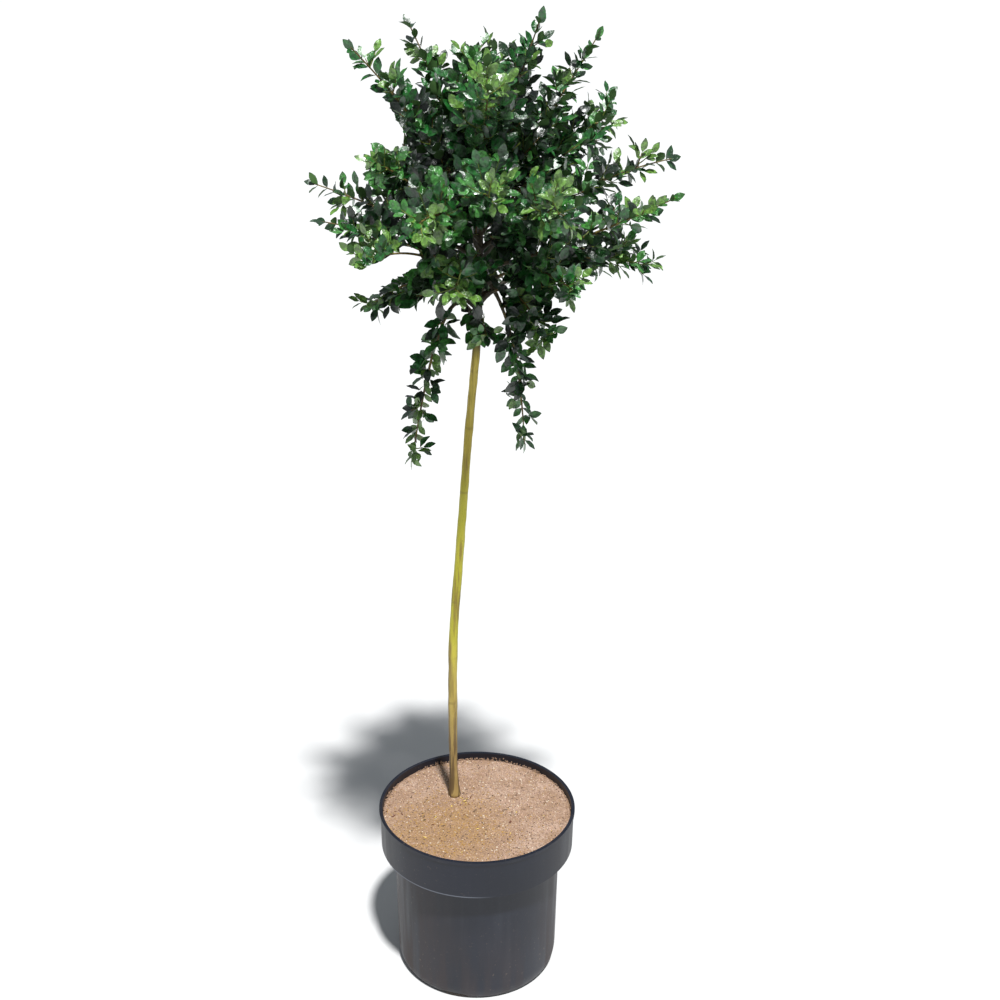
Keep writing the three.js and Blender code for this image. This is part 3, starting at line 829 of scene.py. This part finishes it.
# %% Trunk
TRUNK_RINGS = 70
TRUNK_SIDES = 12
RINGS_CROWD = 1.15  # over 1, rings stand closer at the foot than at the top
SWELLINGS = [  # height and extra radius of each old leaf joint, in millimetres
    (292, 0.7), (318, 0.5), (356, 0.8), (428, 0.4), (505, 0.6),
    (598, 0.4), (683, 0.6), (774, 0.4), (871, 0.6), (955, 0.4),
]
SWELLING_LENGTH = 7 * MM
BARK_WRINKLES = [  # name, size, depth, and how far each is drawn out along the stem
    ("long_lumps", 9 * MM, 1.4 * MM, 4),
    ("fine_wrinkles", 2.2 * MM, 0.7 * MM, 7),
]
BARK_SHARP_OVER = 60


def trunk_ring(height):
    """A ring of the trunk, thicker where an old leaf joint swells it."""
    (x, y, z), radius = trunk_at(height)
    swell = sum(
        extra * MM * math.exp(-(((height - at * MM) / SWELLING_LENGTH) ** 2)) for at, extra in SWELLINGS
    )
    return (x, y, z, radius + swell)


trunk_foot, trunk_top = TRUNK_STATIONS[0, 2], TRUNK_STATIONS[-1, 2]
crowded = np.linspace(0, 1, TRUNK_RINGS) ** RINGS_CROWD
trunk_heights = trunk_foot + (trunk_top - trunk_foot) * crowded
trunk = pulled_shell("trunk_bark", [trunk_ring(height) for height in trunk_heights], TRUNK_SIDES)


def wrinkle(piece, name, size, depth, drawn_out):
    """Roughens a piece by a noise that an empty draws out along the height."""
    carrier = bpy.data.objects.new(name, None)
    bpy.context.scene.collection.objects.link(carrier)
    carrier.scale = (1, 1, drawn_out)
    bpy.context.view_layer.update()
    rough = roughen(piece, name, size, depth)
    rough.texture_coords = "OBJECT"
    rough.texture_coords_object = carrier
    return carrier


rounder = trunk.modifiers.new("rounder", "SUBSURF")
rounder.levels = rounder.render_levels = 2
carriers = [wrinkle(trunk, *row) for row in BARK_WRINKLES]
apply_modifiers(trunk)
for carrier in carriers:
    bpy.data.objects.remove(carrier)
shade_smooth(trunk, BARK_SHARP_OVER)
print(f"trunk: {trunk_top - trunk_foot:.3f} m tall, {len(trunk.data.vertices)} vertices")


# %% [markdown]
# Young bark is smooth and olive-yellow, brightest halfway up. Near the soil it's older and tan, with
# dark lines up it. Long brown flushes run up the stem, and each old leaf joint has left a broken dark
# ring. Inside the head, where the boughs leave, a dark green-brown is painted shade: the shadow that
# the head casts on the stem and boughs.

# %% Bark
HEAD_SHADE_HEIGHTS = (0.965, 1.005)  # heights between which the stem goes over to the painted shade under the head
JOINT_RING = 3 * MM  # to either side of an old leaf joint


def green_bark():
    finish = Finish("green_bark")
    _, _, z = finish.axes()
    along = finish.noise(150, detail=5, stretch=(1, 1, 0.06))
    patches = finish.noise(40, detail=4, stretch=(1, 1, 0.3))
    patched = patches.between(*EVEN_SPLIT)
    fine = finish.noise(800, detail=3, stretch=(1, 1, 0.3))
    broken = finish.noise(70, detail=2)
    old = 1 - z.between(0.30, 0.56)
    dark = z.between(*HEAD_SHADE_HEIGHTS)
    bright = z.between(0.42, 0.56) * (1 - z.between(0.74, 0.86))
    uneven = z + (patches - 0.5) * (8 * MM)
    joints = 0
    for at, _ in SWELLINGS:
        off = uneven - at * MM
        joints = joints + (1 - (off * off).between(0.0, JOINT_RING**2))
    olive = finish.mix(patched, colour(160, 142, 38), colour(204, 184, 80))
    green = finish.mix(bright * 0.7, olive, colour(172, 172, 36))
    flushed = finish.mix(along.between(0.50, 0.64) * 0.7, green, colour(112, 86, 42))
    tanned = finish.mix(old * 0.8 + patches.between(0.58, 0.72) * 0.35, flushed, colour(150, 122, 84))
    lined = finish.mix(along.between(0.44, 0.52) * old * 0.8, tanned, colour(84, 66, 42))
    ringed = finish.mix(joints * broken.between(0.46, 0.62) * 0.35, lined, colour(104, 84, 40))
    dotted = finish.mix(fine.between(0.62, 0.72) * 0.6, ringed, colour(84, 70, 40))
    # painted shade: a dark green-brown for the head's shadow on the stem and boughs
    shaded = finish.mix(patched, colour(44, 40, 22), colour(62, 54, 30))
    return finish.feed(
        Base_Color=finish.mix(dark, dotted, shaded),
        Roughness=0.42 + along * 0.3,
        Normal=finish.bump(along * 0.6 + fine * 0.4, 0.7, 0.8 * MM),
    )


bark = green_bark()
trunk.data.materials.append(bark)
settle(trunk, "trunk_bark", "trunk")

# %% [markdown]
# ## Tubes
#
# Boughs, stems and twigs are all tapering tubes along a line. A tube is made from arrays: rings of points
# round the line, joined by triangles, with a point at either end so that it is closed. The ring's
# own axes are carried on from step to step, because axes worked out afresh at each ring can flip over.

# %% Tubes
def tube(line, radius_at, sides, rings):
    """The points and triangles of a closed tapering tube."""
    shares = np.linspace(0, 1, rings + 1)
    middles = line.at(shares)
    angles = np.arange(sides) * 2 * math.pi / sides
    across = np.cross(line.along(0.0), (0.3, 0.5, 0.81))
    points = []
    for share, middle in zip(shares, middles):
        along = line.along(share)
        across = across - along * (across @ along)
        across = across / np.linalg.norm(across)
        up = np.cross(along, across)
        ring = np.outer(np.cos(angles), across) + np.outer(np.sin(angles), up)
        points.append(middle + ring * radius_at(share))
    points = np.vstack([*points, middles[:1], middles[-1:]])
    first, last = len(points) - 2, len(points) - 1
    triangles = []
    for ring in range(rings):
        for i in range(sides):
            a, b = ring * sides + i, ring * sides + (i + 1) % sides
            triangles += [(a, b, b + sides), (a, b + sides, a + sides)]
    for i in range(sides):
        after = (i + 1) % sides
        triangles += [(first, after, i), (last, rings * sides + i, rings * sides + after)]
    return points, triangles


def tapering(base, tip):
    return lambda share: base + (tip - base) * share


print("a six-sided tube of ten rings has", len(tube(limbs[0].line, tapering(1, 1), 6, 10)[1]), "triangles")

# %% [markdown]
# ## The boughs
#
# Each bough leaves the trunk with a swollen collar and tapers to where its foliage begins. The relief
# is a small push of every point along its own ring, taken from a noise that varies slowly along it.

# %% Boughs
BOUGH_SIDES = 14
BOUGH_RINGS = 22
COLLAR_SWELL = 0.45  # of the radius, where the bough leaves the trunk
COLLAR_LENGTH = 0.12  # of the bough
BOUGH_RELIEF = 0.16  # of the radius
FINE_LUMPS, COARSE_LUMPS = 700, 180  # waves to the metre


def bough_shape(limb):
    line = limb.line.stretch(0, limb.share + GAP / limb.line.length)
    plain = tapering(limb.base_radius, limb.tip_radius)

    def swollen(share):
        return plain(share) * (1 + COLLAR_SWELL * math.exp(-share / COLLAR_LENGTH))

    points, triangles = tube(line, swollen, BOUGH_SIDES, BOUGH_RINGS)
    middles = np.repeat(line.at(np.linspace(0, 1, BOUGH_RINGS + 1)), BOUGH_SIDES, axis=0)
    for i, middle in enumerate(middles):
        rough = noise.noise(points[i] * FINE_LUMPS) + 0.6 * noise.noise(points[i] * COARSE_LUMPS)
        points[i] += (points[i] - middle) * BOUGH_RELIEF * rough
    return points, triangles


boughs = Heap()
for limb in limbs:
    if limb.has_bough:
        boughs.add(*bough_shape(limb), 0)
bough_nodes = [f"bough_{limb.name}" for limb in limbs if limb.has_bough]
settle(boughs.piece("bough_bark", [bark], BARK_SHARP_OVER), "bough_bark", *bough_nodes)

# %% [markdown]
# ## Room for each mass
#
# Twigs and leaves grow only where they have room. A point belongs to a mass if it's within the mass's
# reach, nearer to its own stem than to any other, and clear of the trunk and the boughs. So
# the masses share the head without running into each other. Three gaps go right through the head, a
# wedge on the left, one above it and a window beside the trunk, and nothing grows there. All lines are
# compared as straight stretches, many at once, since this question is asked tens of thousands of times.

# %% Room
TRAIL_STEPS = 10
SPACE_MARGIN = 1.5 * MM
LIMB_MARGIN = 1.2 * MM


class Trails:
    """Straight stretches that stand for lines, for measuring distances to all of them at once."""

    def __init__(self, trails):
        self.lines, self.steps = len(trails), len(trails[0]) - 1
        self.starts = np.concatenate([trail[:-1] for trail in trails])
        self.spans = np.concatenate([np.diff(trail, axis=0) for trail in trails])
        self.squares = (self.spans**2).sum(1)

    def distances(self, points):
        """Each point's distance to each line."""
        offsets = points[:, None, :] - self.starts
        shares = np.clip((offsets * self.spans).sum(2) / self.squares, 0, 1)
        gaps = np.linalg.norm(offsets - shares[..., None] * self.spans, axis=2)
        return gaps.reshape(len(points), self.lines, self.steps).min(2)


HEAD_GAPS = [  # from, to, radius, and how far each leans in x and z for every step to the back
    ((-150, 0, 1078), (-88, 0, 1114), 13, (-0.06, -0.22)),
    ((-127, 0, 1305), (-106, 0, 1268), 13, (-0.06, -0.11)),
    ((21, 0, 1056), (26, 0, 1034), 12, (0.01, -0.245)),
]
gap_lines = [Trails([np.array(gap[:2]) * MM]) for gap in HEAD_GAPS]


def out_of_gaps(points):
    """Whether all of these points keep out of the gaps that the sky shows through."""
    for line, (_, _, radius, (lean_x, lean_z)) in zip(gap_lines, HEAD_GAPS):
        level = points - points[:, 1:2] * (lean_x, 1, lean_z)
        if (line.distances(level) < radius * MM).any():
            return False
    return True


stems = Trails([limb.line.at(np.linspace(limb.share, 1, TRAIL_STEPS + 1)) for limb in limbs])
bough_limbs = [limb for limb in limbs if limb.has_bough]
bough_trails = Trails([limb.line.at(np.linspace(0, limb.share, TRAIL_STEPS + 1)) for limb in bough_limbs])
trunk_trails = Trails([TRUNK_STATIONS[i : i + 2, :3] for i in range(len(TRUNK_STATIONS) - 1)])
bough_radii = np.array([limb.base_radius for limb in bough_limbs])
trunk_radii = TRUNK_STATIONS[:-1, 3]


def has_room(points, limb):
    """Whether all of these points lie in the limb's own space."""
    gaps = stems.distances(points)
    own = gaps[:, limb.index].copy()
    gaps[:, limb.index] = np.inf
    if not (own < limb.reach).all() or not (own + SPACE_MARGIN < gaps.min(1)).all():
        return False
    if not out_of_gaps(points):
        return False
    clear_of_trunk = (trunk_trails.distances(points) > trunk_radii + LIMB_MARGIN).all()
    return clear_of_trunk and (bough_trails.distances(points) > bough_radii + LIMB_MARGIN).all()


print("room at the first stem's middle:", has_room(limbs[0].line.at([0.5]), limbs[0]))

# %% [markdown]
# ## Growth
#
# Growth follows one rule. Each twig or pair of leaves leaves its parent at an angle and is turned on from
# the one before it by the golden angle, which spreads them evenly. Where there's no room it is
# turned further, and after a few tries it is given up. A seeded number, the same on every run, varies
# the lengths.

# %% Growth rule
GOLDEN_TURN = math.pi * (3 - math.sqrt(5))
SEED_TURN = 1.3
TURN_TRIES = 7
TURN_STEP = 1.1
TWIG_ANGLE = 0.95  # radians from its parent's own direction, as are the other angles of growth
TWIG_LIFT = 0.25  # of its length
TWIG_PROBES = [0.4, 0.6, 0.8, 1]  # where along a twig it is asked if there's room


def chance(a, b, c):
    """A seeded number from 0 to 1, the same for the same three whole numbers."""
    wave = math.sin(a * 12.9898 + b * 78.233 + c * 37.719) * 43758.5453
    return wave - math.floor(wave)


def turned(v, axis, angle):
    """A vector turned about a unit axis."""
    return (
        v * math.cos(angle)
        + np.cross(axis, v) * math.sin(angle)
        + axis * (axis @ v) * (1 - math.cos(angle))
    )


def branch_off(along, angle, turn):
    """The direction that leaves a parent's own by an angle, turned about it."""
    level = np.array((1.0, 0, 0)) if abs(along[2]) > 0.9 else np.array((0, 0, 1.0))
    side = np.cross(along, level)
    side = turned(side / np.linalg.norm(side), along, turn)
    return along * math.cos(angle) + side * math.sin(angle)


def twig_line(start, direction, length):
    """A twig leaves its parent in a direction and lifts towards its end."""
    end = start + direction * length
    end[2] += TWIG_LIFT * length
    return bezier(start, start + direction * length / 2, end)


def twig_from(parent, place, length, seed, i, limb, angle=TWIG_ANGLE):
    """The first twig at this place that has room, or None."""
    start, along = parent.at(place), parent.along(place)
    for attempt in range(TURN_TRIES):
        turn = i * GOLDEN_TURN + SEED_TURN * seed + attempt * TURN_STEP
        twig = twig_line(start, branch_off(along, angle, turn), length)
        if has_room(twig.at(TWIG_PROBES), limb):
            return twig
    return None


# %% [markdown]
# The leaf is small, oval and glossy, with a short stalk, a slight fold along its midrib, a gentle
# downward bend and a blunt point. It's a closed blade with a top and an underside, so that
# the underside can have its own paler, matt colour. Twenty-six points are enough for that outline,
# and a shape that is repeated thousands of times can't afford more. Three blades are made, a flat one,
# a cupped one and one whose tip turns up, because leaves that are all alike look printed.

# %% Leaf
LEAF_WIDTH = 0.52  # of its length
LEAF_OUTLINE = [  # along, and share of half the width
    (0.10, 0.10),
    (0.20, 0.46),
    (0.36, 0.86),
    (0.55, 1.0),
    (0.75, 0.76),
    (0.90, 0.36),
]
LEAF_THICKNESS = 0.03
LEAF_WAVE = 0.012  # of its edge
LEAF_SHAPES = [(0.14, 0.10), (0.42, 0.26), (0.30, -0.08)]  # fold along the midrib, and fall of the tip


def leaf_blade(fold, bend):
    """A leaf of length 1 with its stalk at the origin, its tip along +X and its face up."""
    base, tip = 0, 1
    points = [(0, 0, 0), (1, 0, -bend)]
    rows = []
    for i, (along, wide) in enumerate(LEAF_OUTLINE):
        half = wide * LEAF_WIDTH / 2
        sag = -bend * along**2
        edge = sag + half * fold + LEAF_WAVE * (-1) ** i
        thick = LEAF_THICKNESS * math.sin(math.pi * min(along + 0.1, 1)) / 2
        rows.append([len(points) + k for k in range(4)])
        points += [(along, half, edge), (along, -half, edge)]
        points += [(along, 0, sag + thick), (along, 0, sag - thick)]
    top, under = [], []
    for side, back in ((0, 1), (1, 0)):
        for middle, faces, flip in ((2, top, side), (3, under, back)):
            strip = [(base, rows[0][middle], rows[0][side])]
            for here, there in zip(rows, rows[1:]):
                strip.append((here[middle], there[middle], there[side]))
                strip.append((here[middle], there[side], here[side]))
            strip.append((rows[-1][middle], tip, rows[-1][side]))
            faces += [face[::-1] for face in strip] if flip else strip
    return np.array(points, float), np.array(top + under), len(top)


LEAF_BLADES = [leaf_blade(fold, bend)[0] for fold, bend in LEAF_SHAPES]
_, LEAF_FACES, LEAF_TOP_FACES = leaf_blade(*LEAF_SHAPES[0])
print(f"a leaf has {len(LEAF_BLADES[0])} points and {len(LEAF_FACES)} triangles")

# %% [markdown]
# Leaves stand in opposite pairs along a twig, each pair turned on from the last, with one at the tip.
# A leaf points outwards and turns its face to the light, between the sky, the sun's side and the
# outside of the head. It's left out if it would leave the mass's room or sit on top of another. The
# colour is dealt out by spray: all leaves of one twig share a tint, old dark ones inside and young
# yellow-green ones at the tips. The darkest tints inside are partly painted shade, standing for the
# near-black inside of the head.

# %% Leaves along a twig
LEAF_ANGLE = 0.85
LEAF_ROLL = 1.6  # over which leaves are turned about their midribs
LEAF_TRIES = 3
LEAF_TURN_STEP = TURN_STEP / 2
LEAF_LOOKS_OUT = 0.6  # how far faces turn from the sky to the outside of the head
LEAF_LOOKS_AT_SUN = 0.55  # and to the sun's side, the front
LEAST_ACROSS = 0.2  # below it a leaf points at its light, and its face turns to the back instead
BARE_FOOT = 0.12  # share of a twig before its first leaves
TIP_LEAF_AT = 0.97
PAIR_SPACINGS = {  # between pairs of leaves, near the trunk and at the tips
    "full": (8 * MM, 11 * MM),
    "bare": (8 * MM, 11 * MM),
    "weeping": (10 * MM, 12 * MM),
    "slender": (9 * MM, 15 * MM),
}
INNER_LEAF = 28 * MM
TIP_LEAF = 18.5 * MM
LEAF_SPREAD = 0.3
LEAF_APART = 0.25  # between the middles of two leaves, as a share of their length
LEAF_PROBES = np.array([(1, 0, 0), (0.56, 0.26, 0.05), (0.56, -0.26, 0.05), (0.3, 0, 0)])
LEAF_TINTS = {  # name: top colour, and share of the sprays; the oldest and most shaded leaves come first
    # the darkest tint is partly painted shade: the near-black inside of the head
    "inner_green_leaf": (colour(2, 30, 6), 0.22),
    "deep_green_leaf": (colour(4, 54, 12), 0.20),
    "dark_green_leaf": (colour(20, 86, 28), 0.21),
    "mid_green_leaf": (colour(52, 114, 42), 0.25),
    "fresh_green_leaf": (colour(88, 128, 48), 0.12),
}
YOUNG_TINT = len(LEAF_TINTS) - 1
UNDERSIDE = len(LEAF_TINTS)
TINT_STEPS = np.cumsum([share for _, share in LEAF_TINTS.values()])
AGE_AND_SHADE_SHIFT = 0.65  # how far age and the painted shade inside the head move a spray along the tints, from the trunk to the tip of its line


def spray_tint(seed, place):
    """A spray's tint: a seeded choice that leans to the old, darker ones inside, which are partly painted
    shade, and to the young ones outside.
    """
    roll = chance(seed, 5, 9) + AGE_AND_SHADE_SHIFT * (place - 0.5)
    return int(min(np.searchsorted(TINT_STEPS, roll), YOUNG_TINT))


def leaf_frame(direction, roll, place):
    """The leaf's own axes: along it, across it and up from its face, which turns to the light."""
    out = (place - trunk_at(min(place[2], trunk_top))[0]) * (1, 1, 0)
    light = (0, -LEAF_LOOKS_AT_SUN, 1) + LEAF_LOOKS_OUT * out / np.linalg.norm(out)
    across = np.cross(light, direction)
    if np.linalg.norm(across) < LEAST_ACROSS:
        across = np.cross((0, 1.0, 0), direction)
    across = turned(across / np.linalg.norm(across), direction, roll)
    return np.array((direction, across, np.cross(direction, across)))


class Mass:
    """One mass of foliage as it grows: its twigs, its leaves and where those leaves are."""

    def __init__(self, limb):
        self.limb = limb
        self.twigs = Heap()
        self.leaves = Heap()
        self.middles = np.empty((0, 3))

    def leaf(self, base, direction, length, roll, tint, shape):
        """Adds a leaf and says True, if it has room."""
        axes = leaf_frame(direction, roll, base)
        middle = base + direction * length / 2
        if len(self.middles) and (np.abs(self.middles - middle).max(1) < LEAF_APART * length).any():
            return False
        if not has_room(base + LEAF_PROBES * length @ axes, self.limb):
            return False
        self.middles = np.vstack([self.middles, middle])
        paints = np.full(len(LEAF_FACES), UNDERSIDE)
        paints[:LEAF_TOP_FACES] = tint
        self.leaves.add(base + LEAF_BLADES[shape] * length @ axes, LEAF_FACES, paints)
        return True

    def leaves_along(self, twig, seed, length, place):
        """Pairs of leaves along a twig, and one at its tip. Says how many of them found room."""
        before = len(self.middles)
        tint = spray_tint(seed, place)
        spacing = np.interp(place, (0, 1), PAIR_SPACINGS[self.limb.habit])
        pairs = max(1, round(twig.length * (1 - BARE_FOOT) / spacing))
        for i in range(pairs):
            share = BARE_FOOT + (1 - BARE_FOOT) * (i + 0.6) / (pairs + 0.2)
            size = length * (1 + LEAF_SPREAD * (chance(seed, i, 1) - 0.5))
            base, along = twig.at(share), twig.along(share)
            for side in (0, math.pi):
                roll = LEAF_ROLL * (chance(seed, i, 2 + side) - 0.5)
                shape = int(len(LEAF_BLADES) * chance(seed, i, 7 + side))
                for attempt in range(LEAF_TRIES):
                    turn = i * GOLDEN_TURN + SEED_TURN * seed + side + attempt * LEAF_TURN_STEP
                    if self.leaf(base, branch_off(along, LEAF_ANGLE, turn), size, roll, tint, shape):
                        break
        roll = LEAF_ROLL * (chance(seed, 3, 4) - 0.5)
        self.leaf(twig.at(TIP_LEAF_AT), twig.along(TIP_LEAF_AT), length, roll, tint, 0)
        return len(self.middles) - before


# %% [markdown]
# A mass bears the model's side twigs again, and finer shoots that fill in between them: along the
# stem, a few that turn back from its start and fill the middle of the head, and along the side
# twigs. Lengths and spacings are shares of the mass's reach, and lengths shorten towards the tip. Each
# twig has a seed of its own, counted from its limb's number, and a place from 0 to 1 along the limb.
# Seed and place will decide how old its leaves look, and how deep the painted shade on them is.

# %% Twigs and shoots
MODEL_TIP_LEAF = 0.66
STOPS_SHORT = 0.8  # how far before a line's tip its stem ends, as a share of the tip's leaf
TWIG_SPACING = 0.95
FIRST_TWIG_AT = 0.3
TWIG_SHORTENING = {"full": 0.4, "bare": 0.4, "weeping": 0.4, "slender": 0.8}
TWIG_SPREAD = 0.25
SHOOT_SPACING = {"full": 0.095, "bare": 0.12, "weeping": 0.13, "slender": 0.135}
SHOOT_LENGTH = {"full": 0.95, "bare": 0.8, "weeping": 0.5, "slender": 0.85}
SHOOT_SHORTENING = {"full": 0.5, "bare": 0.5, "weeping": 0.5, "slender": 0.97}
SHOOT_SPREAD = 0.4
SHORTEST_SHOOT = 10 * MM
CROWDING = 1.2  # over 1, shoots stand closer near the trunk than at the tip
BACK_SHOOTS = 5
BACK_SHOOT_PLACE = 0.02  # from one to the next, along the stem
BACK_SHOOT_ANGLE = 2.1
BACK_SHOOT_LENGTH = 0.8
SIDE_SHOOT_SPACING = 0.22
SIDE_SHOOT_LENGTH = {"full": 0.6, "bare": 0.5, "weeping": 0.4, "slender": 0.45}
SIDE_SHOOT_SHORTENING = 0.5
SIDE_SHOOT_SPREAD = 0.3


def side_twigs(limb):
    """The model's side twigs that have room, each with its place along the line and a seed."""
    end = 1 - STOPS_SHORT * MODEL_TIP_LEAF * limb.reach / limb.line.length
    stem = limb.line.stretch(limb.share + GAP / limb.line.length, end)
    count = round(stem.length / (TWIG_SPACING * limb.reach))
    for i in range(count):
        place = (i + FIRST_TWIG_AT) / count
        shortened = 1 - TWIG_SHORTENING[limb.habit] * place
        length = limb.reach * shortened * (1 - TWIG_SPREAD * chance(limb.index, i, 3))
        twig = twig_from(stem, place, length, limb.index, i, limb)
        if twig:
            yield twig, place, 100 * (limb.index + 1) + i


def stem_shoots(limb, stem):
    """Shoots along the stem, each None where it has no room. The half turns them off the side twigs."""
    count = round(stem.length / (SHOOT_SPACING[limb.habit] * limb.reach))
    for i in range(count):
        place = ((i + 0.5) / count) ** CROWDING
        seed = 1000 * (limb.index + 1) + i
        shortened = 1 - SHOOT_SHORTENING[limb.habit] * place
        length = SHOOT_LENGTH[limb.habit] * limb.reach * shortened * (1 - SHOOT_SPREAD * chance(seed, i, 3))
        if length >= SHORTEST_SHOOT:
            yield twig_from(stem, place, length, limb.index + 0.5, i, limb), place, seed


def back_shoots(limb, stem):
    """Shoots that turn back from the start of a bough's stem, into the middle of the head."""
    for i in range(BACK_SHOOTS if limb.has_bough else 0):
        at = BACK_SHOOT_PLACE * (i + 1)
        seed = 5000 * (limb.index + 1) + i
        length = BACK_SHOOT_LENGTH * limb.reach * (1 - SHOOT_SPREAD * chance(seed, i, 3))
        yield twig_from(stem, at, length, seed, i, limb, BACK_SHOOT_ANGLE), 0.0, seed


def side_shoots(limb, twigs):
    """Shoots along the side twigs. Each takes its twig's own place along the limb."""
    for twig, place, seed in twigs:
        count = round(twig.length / (SIDE_SHOOT_SPACING * limb.reach))
        for i in range(count):
            at = (i + 0.6) / (count + 0.4)
            shortened = (1 - SIDE_SHOOT_SHORTENING * at) * (1 - SIDE_SHOOT_SPREAD * chance(seed, i, 6))
            length = SIDE_SHOOT_LENGTH[limb.habit] * limb.reach * shortened
            yield twig_from(twig, at, length, seed, i, limb), place, 10 * seed + i


print("the first mass has", len(list(side_twigs(limbs[0]))), "side twigs")

# %% [markdown]
# Every stem, twig and shoot is a thin tube with leaves along it. A stem ends before a gap in the head,
# and a shoot whose foot stands in one is left out. The tube is also left out where fewer than three
# leaves found room, so that no bare end shows.

# %% Growing a mass
STEM_LEAF = TIP_LEAF * 1.05
STEM_AGE = 0.8  # place from 0 to 1 that its leaves take in size and tint
STEM_TIP_RADIUS = 0.8 * MM
TWIG_TO_STEM = 0.75
TWIG_TIP_RADIUS = 0.6 * MM
SHOOT_RADII = (0.9 * MM, 0.5 * MM)
STEM_TUBE, TWIG_TUBE, SHOOT_TUBE = (7, 16), (6, 6), (4, 3)  # sides and rings
GREEN_SHOOT, BROWN_TWIG = 0, 1
SHORTEST_STEM = 0.6  # of its line, where the tip would stand in a gap
STEM_STEP = 0.02
SHOOT_FOOT = [0.0, 0.2]  # the part of a shoot that has to stand clear of the gaps
LEAST_LEAVES = 3  # that a twig or shoot is drawn for


def stem_of(limb):
    """A limb's stem: it stops short of the tip leaf, and before any gap."""
    end = 1 - STOPS_SHORT * TIP_LEAF / limb.line.length
    while not out_of_gaps(limb.line.at([end])) and end > SHORTEST_STEM:
        end -= STEM_STEP
    return limb.line.stretch(limb.stem_start, end)


def dress(mass, twig, seed, place, radii, tube_size, paint):
    """Grows the leaves of a twig, and the twig itself if enough of them found room."""
    length = INNER_LEAF + (TIP_LEAF - INNER_LEAF) * place
    if mass.leaves_along(twig, seed, length, place) >= LEAST_LEAVES:
        mass.twigs.add(*tube(twig, tapering(*radii), *tube_size), paint)


def grow(limb):
    """Everything that grows on one limb line, by the rule."""
    mass = Mass(limb)
    stem = stem_of(limb)
    radius_at = tapering(limb.tip_radius, STEM_TIP_RADIUS)
    mass.twigs.add(*tube(stem, radius_at, *STEM_TUBE), BROWN_TWIG)
    mass.leaves_along(stem, limb.index, STEM_LEAF, STEM_AGE)
    twigs = list(side_twigs(limb))
    for twig, place, seed in twigs:
        radii = (TWIG_TO_STEM * radius_at(place), TWIG_TIP_RADIUS)
        dress(mass, twig, seed, place, radii, TWIG_TUBE, BROWN_TWIG)
    shoots = [*stem_shoots(limb, stem), *back_shoots(limb, stem), *side_shoots(limb, twigs)]
    for shoot, place, seed in shoots:
        if shoot and out_of_gaps(shoot.at(SHOOT_FOOT)):
            dress(mass, shoot, seed, place, SHOOT_RADII, SHOOT_TUBE, GREEN_SHOOT)
    return mass


masses = [grow(limb) for limb in limbs]
leaf_count = sum(len(mass.middles) for mass in masses)
print(f"{leaf_count} leaves on {sum(len(mass.twigs.points) for mass in masses)} stems and shoots")


# %% [markdown]
# ## Leaf and twig finishes
#
# A leaf's top is waxy: dark, with a sharp reflection under a thin clear coat, which fine puckers
# break up into glints. Its underside is paler and matt. Each spray has one tint, which stays crisp
# on a mesh of thousands of leaves, and a fine noise makes it lighter and darker over a leaf.

# %% Leaf and twig finishes
LEAF_BLOTCHES = (0.62, 1.4)  # darkest and lightest parts of a leaf, as shares of its tint
LEAF_SHARP_OVER = 50


def waxy_leaf(name, tint):
    finish = Finish(name)
    gloss = finish.noise(140, detail=2)
    blotches = finish.noise(190, detail=3)
    puckers = finish.noise(90, detail=1) * 0.7 + finish.noise(300, detail=2) * 0.3
    shaded, lit = ([channel * share for channel in tint[:3]] + [1] for share in LEAF_BLOTCHES)
    return finish.feed(
        Base_Color=finish.mix(blotches.between(0.38, 0.64), shaded, lit),
        Roughness=0.25 + gloss * 0.2,
        Specular_IOR_Level=0.7,
        Coat_Weight=0.9,
        Coat_Roughness=0.28,
        Normal=finish.bump(puckers, 0.9, 6 * MM),
    )


def matt_underside():
    finish = Finish("matt_underside")
    dull = finish.noise(140, detail=2)
    return finish.feed(Base_Color=colour(62, 96, 46), Roughness=0.45 + dull * 0.25)


def shoot_skin(name, first, second):
    finish = Finish(name)
    patches = finish.noise(120, detail=3)
    tint = finish.mix(patches.between(*EVEN_SPLIT), first, second)
    return finish.feed(Base_Color=tint, Roughness=0.45 + patches * 0.3)


leaf_paints = [waxy_leaf(name, tint) for name, (tint, _) in LEAF_TINTS.items()] + [matt_underside()]
twig_paints = [
    shoot_skin("green_shoot", colour(112, 124, 44), colour(86, 100, 36)),
    shoot_skin("brown_twig", colour(112, 96, 44), colour(84, 68, 40)),
]
for mass in masses:
    name = mass.limb.name
    leaves = mass.leaves.piece("leaves_" + name, leaf_paints, LEAF_SHARP_OVER)
    settle(leaves, "foliage", "foliage_" + name)
    twigs = mass.twigs.piece("twigs_" + name, twig_paints, BARK_SHARP_OVER)
    settle(twigs, "foliage", "foliage_" + name)

# %% Size
low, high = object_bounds()
size = {"cad": [list(cad_low), list(cad_high)], "visual": [list(low), list(high)]}
print("visual box:", [round(value, 4) for value in (*low, *high)])
